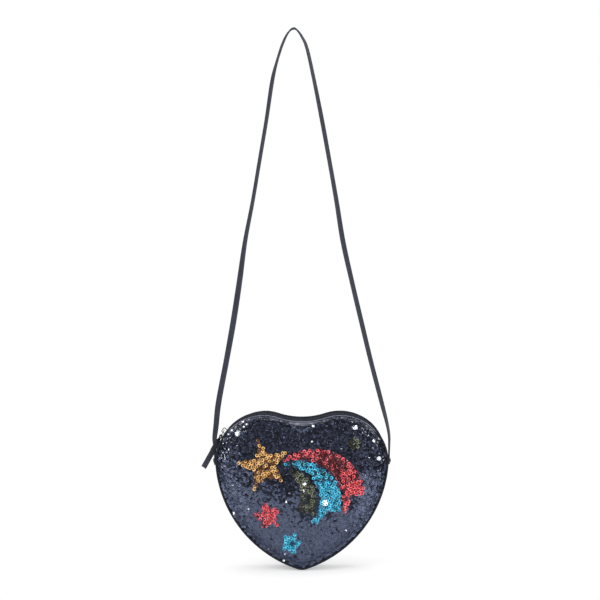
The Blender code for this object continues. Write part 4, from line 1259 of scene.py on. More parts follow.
def reflection_odds(tree, here, spot, aside, band):
    """The odds that a ground sequin is painted slate as painted reflection: high under a wandering line and
    on the crease, where a highlight is painted.
    """
    bow = maths(tree, "POWER", maths(tree, "DIVIDE", aside, REFLECTION_REACH), REFLECTION_POWER)
    middle = times_plus(tree, bow, REFLECTION_RISE, HINGE.z + REFLECTION_MIDDLE)
    right = ramp(tree, spot["X"], *[HINGE.x + x for x in RIGHT_SPAN])
    change = maths(tree, "SUBTRACT", HINGE.z + RIGHT_MIDDLE, middle)
    middle = times_plus(tree, change, right, middle)
    clump = noise(tree, here, 210.0, 1.5)
    wander = times(tree, maths(tree, "SUBTRACT", clump, 0.5), REFLECTION_WANDER)
    wander = times(tree, wander, times_plus(tree, right, -0.6, 1.0))
    level = flattened(tree, here, (1.0, 0.0, 1.0))
    for x, z, reach, amount in UNLIT_SPOTS:
        wander = maths(tree, "ADD", wander, patch(tree, level, x, z, UNLIT_SPOT_START, reach, amount))
    below = maths(tree, "ADD", maths(tree, "SUBTRACT", middle, spot["Z"]), wander)
    below = times(tree, below, times_plus(tree, right, 2.0, 1.0))
    odds = out(tree, "ShaderNodeMapRange", {
        0: below, 1: REFLECTION_SPAN[0], 2: REFLECTION_SPAN[1], 3: REFLECTION_ODDS[0], 4: REFLECTION_ODDS[1]})
    odds = times(tree, odds, ramp(tree, band, 0.15, 0.55, 0.30, 1.0))
    # Painted highlight on the crease under the notch.
    over = maths(tree, "SUBTRACT", spot["Z"], HINGE.z + CREASE_HEIGHT)
    slant = maths(tree, "ABSOLUTE", times_plus(tree, aside, CREASE_SLOPE, over))
    crease = times(tree, ramp(tree, slant, *CREASE_WIDTH, 0.85, 0.0),
                   ramp(tree, aside, *CREASE_ENDS, 1.0, 0.0))
    return maths(tree, "MAXIMUM", odds, crease)


def glint_share(tree, spot, aside, band):
    """The share of ground sequins that glint: many on the shoulders of the lobes, and few elsewhere."""
    shoulder = times(tree, ramp(tree, band, *GLINT_LAST_BANDS, 1.0, 0.0),
                     ramp(tree, band, *GLINT_FIRST_BANDS))
    sides = times(tree, ramp(tree, aside, *GLINT_ASIDE),
                  ramp(tree, spot["Z"], *[HINGE.z + height for height in GLINT_HEIGHTS]))
    return times_plus(tree, times(tree, shoulder, sides), GLINT_MOST, GLINT_LEAST)


@cache
def sequin_tree():
    """Sequins scattered over flat shapes, dropped onto the surface behind them and leaned every way."""
    tree, source, result = new_group(
        "Scattered sequins", "GeometryNodeTree",
        [("Surface", "Geometry", None), ("Shape", "Object", None), ("Keep clear", "Object", None),
         ("Sparkles", "Object", None), ("Diameter", "Float", 0.003), ("Spacing", "Float", 0.0022),
         ("Tilt", "Float", 0.3), ("Lift", "Float", 0.0003), ("Bed", "Float", 0.0),
         ("First band", "Float", 0.0), ("Glints", "Float", 0.0), ("Seed", "Int", 0),
         ("Foil", "Material", None)],
        [("Sequins", "Geometry")])
    seed = source["Seed"]
    crowd = maths(tree, "DIVIDE", 4.0, maths(tree, "POWER", source["Spacing"], 2.0))
    scatter = add(tree, "GeometryNodeDistributePointsOnFaces", {
        "Mesh": object_geometry(tree, source["Shape"]), "Distance Min": source["Spacing"],
        "Density Max": crowd, "Seed": seed}, distribute_method="POISSON").outputs["Points"]
    here = out(tree, "GeometryNodeInputPosition")
    spot = add(tree, "ShaderNodeSeparateXYZ", {0: here}).outputs
    aside = maths(tree, "ABSOLUTE", maths(tree, "SUBTRACT", spot["X"], HINGE.x))

    drop = {"Source Position": here, "Ray Direction": (0.0, 1.0, 0.0), "Ray Length": DROP_LENGTH}
    hit = add(tree, "GeometryNodeRaycast", {
        "Target Geometry": source["Surface"], "Attribute": named(tree, "band"), **drop}).outputs
    others = object_geometry(tree, source["Keep clear"])
    covered = add(tree, "GeometryNodeRaycast", {"Target Geometry": others, **drop}).outputs["Is Hit"]
    notch = times(tree, ramp(tree, aside, *NOTCH_ASIDE, NOTCH_BANDS, 0.0),
                  ramp(tree, spot["Z"], *[HINGE.z + height for height in NOTCH_HEIGHTS]))
    least = maths(tree, "ADD", source["First band"], notch)
    bare = out(tree, "FunctionNodeCompare", {0: hit["Attribute"], 1: least}, operation="LESS_THAN")
    dropped = out(tree, "FunctionNodeBooleanMath", {0: hit["Is Hit"]}, operation="NOT")
    for reason in (bare, covered):
        dropped = out(tree, "FunctionNodeBooleanMath", {0: dropped, 1: reason}, operation="OR")

    capture = add(tree, "GeometryNodeCaptureAttribute", {"Geometry": scatter})
    for socket_type, label, value in (
            ("VECTOR", "Normal", hit["Hit Normal"]), ("VECTOR", "Spot", hit["Hit Position"]),
            ("FLOAT", "Band", hit["Attribute"]), ("BOOLEAN", "Drop", dropped),
            ("FLOAT", "Chance", random_number(tree, 0.0, 1.0, seed, 2))):
        capture.capture_items.new(socket_type, label)
        tree.links.new(value, capture.inputs[label])
    caught = capture.outputs
    field = out(tree, "GeometryNodeDeleteGeometry", {
        "Geometry": caught["Geometry"], "Selection": caught["Drop"]})
    height = times(tree, times_plus(tree, caught["Chance"], 0.9, 0.1), source["Lift"])
    points = moved_points(tree, field, caught["Spot"], caught["Normal"], height)
    flat = moved_points(tree, field, caught["Spot"], caught["Normal"], SHADE_BED_LIFT)

    facing = out(tree, "FunctionNodeAlignRotationToVector", {"Vector": caught["Normal"]}, axis="Z")
    spin = random_number(tree, -math.pi, math.pi, seed, 4)
    spin = out(tree, "ShaderNodeCombineXYZ", {"Z": spin})
    turned = facing
    for angles in (random_vector(tree, source["Tilt"], seed, 3), spin):
        turn = out(tree, "FunctionNodeEulerToRotation", {0: angles})
        turned = turned_in_place(tree, turned, turn)
    disc = sequin_disc(tree)
    discs = out(tree, "GeometryNodeInstanceOnPoints", {
        "Points": points, "Instance": disc, "Rotation": turned, "Scale": source["Diameter"]})
    # Painted reflection: ground sequins under the line are marked to be painted slate.
    lit_reflection = maths(tree, "LESS_THAN", random_number(tree, 0.0, 1.0, seed, 5),
                 reflection_odds(tree, here, spot, aside, caught["Band"]))
    # Painted highlight: ground sequins near the rims of the lobes are marked to be painted paler.
    rim = times(tree, ramp(tree, caught["Band"], *HIGHLIGHT_BANDS, 1.0, 0.0), ramp(tree, aside, *HIGHLIGHT_ASIDE))
    share = times(tree, glint_share(tree, spot, aside, caught["Band"]), source["Glints"])
    glint = maths(tree, "LESS_THAN", random_number(tree, 0.0, 1.0, seed, 6), share)
    glint = times(tree, glint, random_number(tree, 0.05, 0.75, seed, 7))
    for name, value in (("sequin_random", caught["Chance"]), ("sequin_flip", lit_reflection), ("sequin_band", rim),
                        ("sequin_glint", glint)):
        discs = stored(tree, discs, name, value, "INSTANCE")

    # A bed of larger discs, mostly in the dark colour, under the figures: painted shade between the sequins.
    bed = out(tree, "GeometryNodeInstanceOnPoints", {
        "Points": flat, "Instance": disc, "Rotation": facing, "Selection": source["Bed"],
        "Scale": times(tree, source["Diameter"], source["Bed"])})
    both = add(tree, "GeometryNodeJoinGeometry")
    for part in (bed, discs):
        tree.links.new(part, both.inputs[0])
    real = out(tree, "GeometryNodeRealizeInstances", {0: both.outputs[0]})
    lights = object_geometry(tree, source["Sparkles"])
    real = stored(tree, real, "sparkle", sparkle_glow(tree, here, lights))
    finished = out(tree, "GeometryNodeSetMaterial", {"Geometry": real, "Material": source["Foil"]})
    connect(tree, result, {"Sequins": finished})
    return tree


@cache
def bead_tree():
    """Stitches, zip coils and other small beads at even steps along a path that carries an up vector."""
    tree, source, result = new_group(
        "Beads along a path", "GeometryNodeTree",
        [("Path", "Geometry", None), ("Spacing", "Float", 0.003), ("Length", "Float", 0.002),
         ("Width", "Float", 0.0005), ("Height", "Float", 0.0004), ("Slant", "Float", 0.0), ("Seed", "Int", 0),
         ("Finish", "Material", None)],
        [("Beads", "Geometry")])
    curve = out(tree, "GeometryNodeMeshToCurve", {0: source["Path"]})
    steps = add(tree, "GeometryNodeCurveToPoints", {"Curve": curve, "Length": source["Spacing"]},
                mode="LENGTH").outputs
    raised = out(tree, "FunctionNodeAlignRotationToVector", {"Vector": named(tree, "up", "FLOAT_VECTOR")},
                 axis="Z")
    along = out(tree, "FunctionNodeAlignRotationToVector", {"Rotation": raised, "Vector": steps["Tangent"]},
                axis="X", pivot_axis="Z")
    wobble = maths(tree, "ADD", source["Slant"], random_number(tree, -0.05, 0.05, source["Seed"], 1))
    skew = out(tree, "FunctionNodeEulerToRotation", {
        0: out(tree, "ShaderNodeCombineXYZ", {"Z": wobble})})
    ball = out(tree, "GeometryNodeMeshUVSphere", {"Segments": 6, "Rings": 4, "Radius": 0.5})
    soft = out(tree, "GeometryNodeSetShadeSmooth", {"Geometry": ball})
    size = add(tree, "ShaderNodeCombineXYZ", {
        "X": source["Length"], "Y": source["Width"], "Z": source["Height"]})
    laid = out(tree, "GeometryNodeInstanceOnPoints", {
        "Points": steps["Points"], "Instance": soft, "Rotation": turned_in_place(tree, along, skew),
        "Scale": size.outputs[0]})
    connect(tree, result, {"Beads": in_material(tree, laid, source["Finish"])})
    return tree


def grown(guide, tree, values, name):
    """Run a Geometry Nodes tree on a guide object and keep its result as a plain mesh under a new name."""
    modifier = guide.modifiers.new(tree.name, "NODES")
    modifier.node_group = tree
    for item in tree.interface.items_tree:
        if item.item_type == "SOCKET" and item.in_out == "INPUT" and item.name in values:
            modifier[item.identifier] = values[item.name]
    guide.update_tag()
    bpy.context.view_layer.update()
    graph = bpy.context.evaluated_depsgraph_get()
    mesh = bpy.data.meshes.new_from_object(guide.evaluated_get(graph))
    mesh.name = name
    guide.modifiers.remove(modifier)
    if not mesh.polygons:
        raise RuntimeError(name + " came out empty")
    return new_object(name, mesh)


def remove(made):
    """Delete a guide object and its mesh."""
    mesh = made.data
    bpy.data.objects.remove(made)
    bpy.data.meshes.remove(mesh)


def path_guide(paths):
    """Paths as edges, each point with its up vector; a path is a list of (point, up) and may be closed."""
    points, edges, ups = [], [], []
    for path, closed in paths:
        first = len(points)
        points += [tuple(point) for point, _ in path]
        ups += [component for _, up in path for component in up]
        edges += [(first + index, first + index + 1) for index in range(len(path) - 1)]
        if closed:
            edges.append((first + len(path) - 1, first))
    mesh = bpy.data.meshes.new("path guide")
    mesh.from_pydata(points, edges, [])
    layer = mesh.attributes.new("up", "FLOAT_VECTOR", "POINT")
    layer.data.foreach_set("vector", ups)
    return new_object("path guide", mesh)


def beads(name, paths, finish_name, sizes, slant=0.0):
    """A row of beads along paths as one mesh."""
    spacing, length, width, height = sizes
    guide = path_guide(paths)
    made = grown(guide, bead_tree(), {"Spacing": spacing, "Length": length, "Width": width, "Height": height,
                                      "Slant": slant, "Seed": 3, "Finish": finish(finish_name)}, name)
    remove(guide)
    return made


def stitches(name, body, paths, sizes):
    """Rows of stitches as one piece on a body."""
    place(beads(name, paths, "thread", sizes), body, "dark_leather")


def face_row(outline, inset, y):
    """A closed row of stitches round the front or the back."""
    up = (0.0, math.copysign(1.0, y), 0.0)
    return [(outline.point(station, inset, y), up) for station in outline.around()], True


def gusset_row(outline, stations, inset, y):
    """An open row of stitches along the gusset."""
    return [(outline.point(station, inset, y), outline.outwards(station)) for station in stations], False


# Front and back panels

def panel_rings(outline, edge, knots, side):
    """Rings of a panel's face from its edge inwards, each with its band number, and its middle point."""
    stations = outline.around()
    groove = len(knots) - 1 if side > 0 else GROOVE_KNOT
    rings, bands = [], []
    for index, (inset, rise) in enumerate(knots):
        rings.append([outline.point(station, inset, side * (edge + rise)) for station in stations])
        if index <= groove:
            bands.append(index / groove)
        else:
            bands.append(1 + (index - groove) / (len(knots) - 1 - groove))
    shoulder = rings[-1]
    last_rise = knots[-1][1]
    crown = CROWN_RISE if side < 0 else last_rise
    centre = HINGE + Vector((0.0, 0.0, PANEL_CENTRE_Z))
    for share in SHARES:
        rise = last_rise + (crown - last_rise) * (1 - share ** 2)
        ring = []
        for point in shoulder:
            drawn = centre + (point - centre) * share
            drawn.y = side * (edge + rise)
            ring.append(drawn)
        rings.append(ring)
        bands.append(3 - share)
    return rings, bands, Vector((centre.x, side * (edge + crown), centre.z))


def cushion(name, outline, edge, knots, side, material):
    """A closed padded panel: its face, its edge and a flat inner side."""
    rings, bands, middle = panel_rings(outline, edge, knots, side)
    stations = outline.around()
    flat_y = side * (edge - INNER_DEPTH)
    inner = [outline.point(station, INNER_INSET, flat_y) for station in stations]
    rim = [outline.point(station, EDGE_INSET, side * (edge + RIM_RISE)) for station in stations]
    rings = [inner, rim] + rings
    bands = [0.0, 0.0] + bands
    count = len(stations)
    points, faces = loft(rings)
    faces = faces[:-2]
    points += [Vector((middle.x, flat_y, middle.z)), middle]
    first_middle, last_middle = len(points) - 2, len(points) - 1
    last_start = (len(rings) - 1) * count
    for index in range(count):
        follow = (index + 1) % count
        faces.append((first_middle, follow, index))
        faces.append((last_middle, last_start + index, last_start + follow))
    made = mesh_object(name, points, faces, material)
    values = [band for band in bands for _ in range(count)] + [0.0, 3.0]
    set_attribute(made, "band", values)
    return made


def heart_sheet(outline, inset, y_first, y_last):
    """Rings of a thin flat heart-shaped sheet, from the middle of one side over its edge to the other's."""
    centre = HINGE + Vector((0.0, 0.0, PANEL_CENTRE_Z))
    sides = []
    for y in (y_first, y_last):
        sides.append([[centre + (outline.point(station, inset) - centre) * share + Vector((0.0, y, 0.0))
                       for station in outline.around()] for share in SHEET_SHARES])
    return list(reversed(sides[0])) + sides[1]


def swollen(made, pressure, most):
    """Let a panel fill out as cloth inside its seam, and move no point further than most."""
    seam = [index for index, item in enumerate(made.data.attributes["band"].data) if item.value <= 1.0]
    made.vertex_groups.new(name="seam").add(seam, 1.0, "REPLACE")
    before = [vertex.co.copy() for vertex in made.data.vertices]
    cloth = made.modifiers.new("Padding", "CLOTH").settings
    cloth.vertex_group_mass = "seam"
    cloth.use_pressure = True
    cloth.uniform_pressure_force = pressure
    cloth.effector_weights.gravity = 0.0
    for number in range(1, CLOTH_FRAMES + 1):
        bpy.context.scene.frame_set(number)
    applied(made)
    bpy.context.scene.frame_set(1)
    made.vertex_groups.clear()
    for vertex, first in zip(made.data.vertices, before):
        step = vertex.co - first
        vertex.co = first + step * min(1.0, most / max(step.length, 0.00001))


class HEARTBAG_OT_front_panel(bpy.types.Operator):
    """Make the padded front with its rolled rim and stitched groove"""

    bl_idname = "heart_bag.front_panel"
    bl_label = "Padded front"

    def execute(self, context):
        sizes = context.scene.bag_sizes
        outline = HeartOutline(sizes)
        edge = sizes.gusset_width / 2
        front = cushion("front_padded_panel", outline, edge, FRONT_KNOTS, -1, finish("ground"))
        place(front, "bag", "navy_sequins", "front_sequin_panel", "front_padding")
        inset, rise = FRONT_KNOTS[GROOVE_KNOT]
        row = face_row(outline, inset, -(edge + rise + 0.0001))
        stitches("front_groove_stitches", "bag", [row], GROOVE_STITCH)
        return {"FINISHED"}


class HEARTBAG_OT_back_panel(bpy.types.Operator):
    """Make the plain padded leather back with its edge stitching"""

    bl_idname = "heart_bag.back_panel"
    bl_label = "Padded back"

    def execute(self, context):
        sizes = context.scene.bag_sizes
        outline = HeartOutline(sizes)
        edge = sizes.gusset_width / 2
        back = cushion("back_padded_panel", outline, edge, BACK_KNOTS, 1, finish("leather"))
        swollen(back, BACK_PRESSURE, BACK_SWELL)
        place(back, "bag", "dark_leather", "back_panel", "back_padding")
        row = face_row(outline, BACK_STITCH_INSET, edge + BACK_STITCH_RISE)
        stitches("back_edge_stitches", "bag", [row], BACK_STITCH)
        return {"FINISHED"}


# Sequins

def figure_guide(shapes, y):
    """Flat shapes in front of the bag that say where a colour of sequins goes."""
    points, faces = [], []
    for corners in shapes:
        first = len(points)
        points += [(HINGE.x + x, y, HINGE.z + z) for x, z in corners]
        faces.append(tuple(range(first, len(points))))
    return mesh_object("figure guide", points, faces)


def sparkle_guide():
    """Points on the front that catch the light, with how far each spreads."""
    points = [(HINGE.x + x, 0.0, HINGE.z + z) for x, z, _ in SPARKLES]
    guide = mesh_object("sparkle guide", points, [])
    set_attribute(guide, "spread", [spread for _, _, spread in SPARKLES])
    return guide


def figure_shapes():
    """The inlaid figures: name, flat shapes, colour and how far their edges are drawn in."""
    red_arm = fork_strip(RED_FORK, RED_TAIL[2])
    cyan_arm = fork_strip(CYAN_FORK, CYAN_TAIL[2])
    return (
        ("gold_star", [star_outline(GOLD_STAR)], "gold", 0.0003),
        ("red_tail", [tail_outline(RED_TAIL), red_arm], "red", -0.0001),
        ("cyan_tail", [tail_outline(CYAN_TAIL), cyan_arm], "cyan", -0.0002),
        ("olive_tail", [tail_outline(OLIVE_TAIL)], "olive", 0.0),
        ("small_red_star", [star_outline(SMALL_RED_STAR)], "red", -0.0004),
        ("small_cyan_star", [star_outline(SMALL_CYAN_STAR)], "cyan", -0.0006),
        ("small_olive_star", [star_outline(SMALL_OLIVE_STAR)], "olive", 0.0),
    )


class HEARTBAG_OT_sequins(bpy.types.Operator):
    """Cover the front with navy ground sequins and the stars and tails in their colours"""

    bl_idname = "heart_bag.sequins"
    bl_label = "Sequins"

    def execute(self, context):
        sizes = context.scene.sequin_sizes
        outline = HeartOutline(context.scene.bag_sizes)
        figures = figure_shapes()
        front = bpy.data.objects["front_padded_panel"]
        lights = sparkle_guide()
        scatter = sequin_tree()
        for salt, (name, shapes, colour, margin) in enumerate(figures, 11):
            guide = figure_guide([drawn_in(corners, margin) for corners in shapes], FIGURE_LAYER)
            made = grown(front, scatter, {
                "Shape": guide, "Sparkles": lights, "Diameter": sizes.figure_diameter,
                "Spacing": sizes.figure_spacing, "Tilt": sizes.figure_tilt, "Lift": FIGURE_LIFT,
                "Bed": FIGURE_SHADE_BED, "Seed": sizes.seed + salt, "Foil": finish(colour)}, name + "_discs")
            place(made, "bag", colour + "_sequins", name + "_sequins")
            remove(guide)
        edge = [outline.point(station, FIELD_INSET) - HINGE for station in outline.around()]
        field = figure_guide([[(point.x, point.z) for point in edge]], FIELD_LAYER)
        clear = figure_guide([corners for _, shapes, _, _ in figures for corners in shapes], FIGURE_LAYER)
        made = grown(front, scatter, {
            "Shape": field, "Keep clear": clear, "Sparkles": lights, "Diameter": sizes.field_diameter,
            "Spacing": sizes.field_spacing, "Tilt": sizes.field_tilt, "Lift": FIELD_LIFT,
            "First band": FIELD_FIRST_BAND, "Glints": 1.0, "Seed": sizes.seed, "Foil": finish("navy")},
            "navy_ground_discs")
        place(made, "bag", "navy_sequins")
        for guide in (field, clear, lights):
            remove(guide)
        return {"FINISHED"}


# Edges and gusset

def band_sections(outline, stations, corners):
    """Cross-sections of a strip that follows the outline; each corner is its inset and its y."""
    return [[outline.point(station, inset, y) for inset, y in corners] for station in stations]


def rounded_band(outer, inner, y_first, y_last, bow=0.0, across=8):
    """Cross-section of a leather strip: softly rounded edges and a slight bow outwards between them."""
    thick = inner - outer
    low, high = sorted((y_first, y_last))
    top, bottom = [], []
    for index in range(across + 1):
        share = index / across
        y = low + (high - low) * share
        lift = bow * math.sin(math.pi * share)
        drop = thick * EDGE_ROUNDING if index in (0, across) else 0.0
        top.append((outer - lift + drop, y))
        bottom.append((inner - lift - drop, y))
    return top + list(reversed(bottom))


class HEARTBAG_OT_piping(bpy.types.Operator):
    """Make the corded piping round both panels"""

    bl_idname = "heart_bag.piping"
    bl_label = "Piping"

    def execute(self, context):
        sizes = context.scene.bag_sizes
        outline = HeartOutline(sizes)
        angles = circle(PIPING_CORNERS)
        for name, side in (("front_piping", -1), ("back_piping", 1)):
            centre_y = side * (sizes.gusset_width / 2 + GAP + PIPING_RADIUS)
            sections, shine = [], []
            for index, station in enumerate(outline.around()):
                spot = outline.point(station, 0.0) - HINGE
                top = share_of(spot.z, *PIPING_TOP)
                swell = PIPING_SWELL * top * share_of(spot.x, *PIPING_SWELL_SPAN) if side > 0 else 0.0
                thick = (PIPING_RADIUS + swell) * (1.0 - PIPING_RIPPLE * (index % 2))
                sections.append([
                    outline.point(station, PIPING_INSET - swell - thick * math.cos(angle),
                                  centre_y + thick * math.sin(angle))
                    for angle in angles])
                # Painted highlight: the edge attribute marks the inner front side of the front piping's top,
                # to be painted pale.
                seen = top if side < 0 else 0.0
                shine += [seen * max(0.0, math.cos(angle - PIPING_SHINE)) ** 2 for angle in angles]
            made = lofted(name + "_cord", sections, "piping_leather", closed=True)
            set_attribute(made, "edge", shine)
            place(made, "bag", "dark_leather", name)
        return {"FINISHED"}


class HEARTBAG_OT_gusset(bpy.types.Operator):
    """Make the leather gusset, the zip facings and their seams"""

    bl_idname = "heart_bag.gusset"
    bl_label = "Gusset"

    def execute(self, context):
        sizes = context.scene.bag_sizes
        outline = HeartOutline(sizes)
        edge = sizes.gusset_width / 2
        seam_y = edge - SEAM_MARGIN
        upper = outline.upper(JOIN_ANGLE + GAP / sizes.lobe_radius)
        band = rounded_band(GUSSET_INSET, GUSSET_INNER_INSET, -edge, edge, bow=0.0003, across=16)
        gusset = lofted("lower_gusset_leather", band_sections(outline, outline.lower(), band),
                        "gusset_leather", sharp=50)
        place(gusset, "bag", "dark_leather", "lower_gusset")
        seams = [gusset_row(outline, outline.lower(), SEAM_INSET, y) for y in (-seam_y, seam_y)]
        for name, side in (("front", -1), ("back", 1)):
            ends = (side * edge, side * ZIP_SLOT_Y)
            band = rounded_band(GUSSET_INSET, GUSSET_INNER_INSET, *ends, bow=0.0002)
            facing = lofted("zip_facing_leather_" + name, band_sections(outline, upper, band),
                            "gusset_leather", sharp=50)
            place(facing, "bag", "dark_leather", "zip_facing_" + name)
            seams += [gusset_row(outline, upper, SEAM_INSET, side * y) for y in (seam_y, ZIP_SEAM_Y)]
        stitches("gusset_stitches", "bag", seams, GUSSET_STITCH)
        return {"FINISHED"}


class HEARTBAG_OT_anchors(bpy.types.Operator):
    """Make the stitched patches and the rivets that hold the strap"""

    bl_idname = "heart_bag.anchors"
    bl_label = "Strap anchors"

    def execute(self, context):
        sizes = context.scene.bag_sizes
        outline = HeartOutline(sizes)
        for name, side in (("left", -1), ("right", 1)):
            under = node_copy("anchor_patch_" + name, "anchor_patch_leather_" + name, "leather")
            bevelled(under, width=0.0002, segments=2)
            place(under, "bag", "dark_leather", "anchor_patch_" + name)
            rows = self.patch_rows(sizes, outline, side < 0)
            stitches("anchor_stitches_" + name, "bag", rows, PATCH_STITCH)
            rivet = lofted("strap_rivet_metal_" + name, self.rivet_rings(sizes, side), "metal", sharp=40)
            place(rivet, "bag", "zip_metal", "strap_rivet_" + name)
        return {"FINISHED"}

    @staticmethod
    def patch_rows(sizes, outline, left):
        """Four rows of stitches inside the edges of a patch."""
        reach = PATCH_LENGTH / 2 / sizes.lobe_radius - PATCH_MARGIN
        stations = outline.on_lobe(-reach, reach, 8, left)
        rows = [gusset_row(outline, stations, 0.0, y) for y in (PATCH_ROWS[0], PATCH_ROWS[-1])]
        for station in (stations[0], stations[-1]):
            row = [(outline.point(station, 0.0, y), outline.outwards(station)) for y in PATCH_ROWS]
            rows.append((row, False))
        return rows

    @staticmethod
    def rivet_rings(sizes, side):
        """Rings of a rivet from its washer inside the bag to the top of its head."""
        half_width = sizes.lobe_offset + sizes.lobe_radius
        head = half_width + GAP + sizes.strap_thickness + GAP
        profile = [(half_width - depth, WASHER_RADIUS) for depth in WASHER_DEPTHS]
        profile += [(half_width - WASHER_DEPTHS[-1], SHANK_RADIUS), (head, SHANK_RADIUS)]
        profile += [(head + rise, radius) for rise, radius in RIVET_HEAD]
        return [[HINGE + Vector((side * x, radius * math.cos(angle), radius * math.sin(angle)))
                 for angle in circle(RIVET_CORNERS)] for x, radius in profile]


# Zip

class HEARTBAG_OT_zip(bpy.types.Operator):
    """Make the zip's woven tapes, its two rows of coil, its stops, end patches, slider and ring"""

    bl_idname = "heart_bag.zip"
    bl_label = "Zip"

    def execute(self, context):
        sizes = context.scene.bag_sizes
        outline = HeartOutline(sizes)
        upper = outline.upper(JOIN_ANGLE + GAP / sizes.lobe_radius)
        teeth = outline.upper(SLIDER_ANGLE - SLIDER_HALF / sizes.lobe_radius - 2 * GAP / sizes.lobe_radius)
        for name, side in (("front", -1), ("back", 1)):
            band = rounded_band(*TAPE_INSETS, side * TAPE_SPAN[0], side * TAPE_SPAN[1], across=10)
            tape = lofted("zip_tape_weave_" + name, band_sections(outline, upper, band), "tape", sharp=50)
            place(tape, "bag", "zip_tape", "zip_tape_" + name)
            row = gusset_row(outline, teeth, COIL_INSET, side * COIL_Y)
            coil = beads("zip_coil_" + name, [row], "coil", ZIP_COIL, side * COIL_SLANT)
            place(coil, "bag", "zip_metal", "zip_teeth_" + name)
        for node in ("zip_stop_left", "zip_stop_right"):
            stop = bevelled(node_copy(node, node + "_metal", "metal"), width=0.0003, segments=3)
            place(stop, "bag", "zip_metal", node)
        for node in ("zip_end_patch_left", "zip_end_patch_right"):
            end_patch = bevelled(node_copy(node, node + "_leather", "leather"), width=0.00025, segments=2)
            place(end_patch, "bag", "dark_leather", node)
        slider = node_copy("zip_slider", "zip_slider_metal", "metal")
        bevelled(slider, width=0.0002, segments=3)
        place(slider, "zip_slider", "zip_metal", "zip_slider")
        ring = node_copy("pull_ring", "pull_ring_wire", "metal")
        rounded = ring.modifiers.new("Round wire", "SUBSURF")
        rounded.levels = 2
        rounded.render_levels = 2
        applied(ring)
        ring.data.shade_smooth()
        place(ring, "pull_ring", "zip_metal", "pull_ring")
        return {"FINISHED"}


class PullTab:
    """Where the leather tab hangs on its ring, and how its face turns below the narrow neck."""

    def __init__(self):
        joints = {joint["name"]: joint for joint in frame["joints"]}
        self.start = Vector(joints["tab_swing"]["pos_m"])
        self.along = (self.start - Vector(joints["ring_swing"]["pos_m"])).normalized()
        self.bar = Vector(joints["tab_swing"]["axis"]).normalized()
        self.across = self.along.cross(self.bar)

    def point(self, x, y, z):
        """A place on the tab, turned with its face, in the room's coordinates."""
        share = share_of(x, TAB_PINCH_END, TAB_NECK)
        local = Matrix.Rotation(TAB_TWIST * share ** 2 * (3 - 2 * share), 3, "X") @ Vector((x, y, z))
        return self.start + self.along * local.x + self.bar * local.y + self.across * local.z

    @staticmethod
    def half_width(x):
        """Half the tab's width at a distance from the ring."""
        return TAB_PINCH + (TAB_HALF_WIDTH - TAB_PINCH) * share_of(x, TAB_PINCH_END, TAB_NECK)

    @staticmethod
    def route():
        """The strip's middle line: up behind the tab, round the ring's bar and down in front."""
        centre = TAB_PLY / 2 + PLY_GAP
        path = [(TAB_FOLD * (1 - step / 12) + TAB_THROAT * step / 12, -centre) for step in range(13)]
        path += [(TAB_EYE * math.cos(angle), TAB_EYE * math.sin(angle))
                 for angle in [math.radians(-60 - 30 * step) for step in range(9)]]
        return path + [(TAB_THROAT + (TAB_END - TAB_THROAT) * step / 24, centre) for step in range(25)]

    def stitch_row(self, side, face, last):
        """One row of stitches down a face of the tab."""
        row = []
        for step in range(25):
            x = TAB_STITCH_START + (last - TAB_STITCH_START) * step / 24
            y = self.half_width(x) * side
            on_face = self.point(x, y, face * (TAB_PLY + PLY_GAP))
            row.append((on_face, self.point(x, y, face * (TAB_PLY + 0.001)) - on_face))
        return row, False


class HEARTBAG_OT_pull(bpy.types.Operator):
    """Make the folded and stitched leather tab of the zip pull"""

    bl_idname = "heart_bag.pull"
    bl_label = "Zip pull"

    def execute(self, context):
        tab = PullTab()
        path = tab.route()
        sections, edges = [], []
        for index, (x, z) in enumerate(path):
            before = Vector(path[max(0, index - 1)])
            after = Vector(path[min(len(path) - 1, index + 1)])
            ahead = (after - before).normalized()
            ring = []
            for wide, thick in TAB_PROFILE:
                push = thick * TAB_PLY * PLY_SHARE
                ring.append(tab.point(x - ahead.y * push, tab.half_width(x) * wide, z + ahead.x * push))
                edges.append(share_of(abs(wide), *TAB_EDGES))
            sections.append(ring)
        leather = lofted("pull_tab_leather", sections, "tab_leather", sharp=50)
        set_attribute(leather, "edge", edges)
        place(leather, "pull_tab", "dark_leather", "pull_tab")
        faces = ((1, TAB_END - TAB_STITCH_ENDS[0]), (-1, TAB_FOLD - TAB_STITCH_ENDS[1]))
        rows = [tab.stitch_row(side, face, last) for side in (-TAB_STITCH_SIDE, TAB_STITCH_SIDE)
                for face, last in faces]
        stitches("pull_tab_stitches", "pull_tab", rows, TAB_STITCH)
        return {"FINISHED"}


# Strap

def leg_places(leg, rivet):
    """Places along one leg, each at its share of the straight line down to the rivet."""
    return [(rivet[0] * share + bow, y, rivet[2] * share, turn) for share, bow, y, turn in leg]


def tail_end(rivet, follow):
    """The strap's end, in line with the leg on the far side of its rivet."""
    down = (Vector(rivet[:3]) - Vector(follow[:3])).normalized()
    return (*(Vector(rivet[:3]) + down * STRAP_TAIL), 0.0)


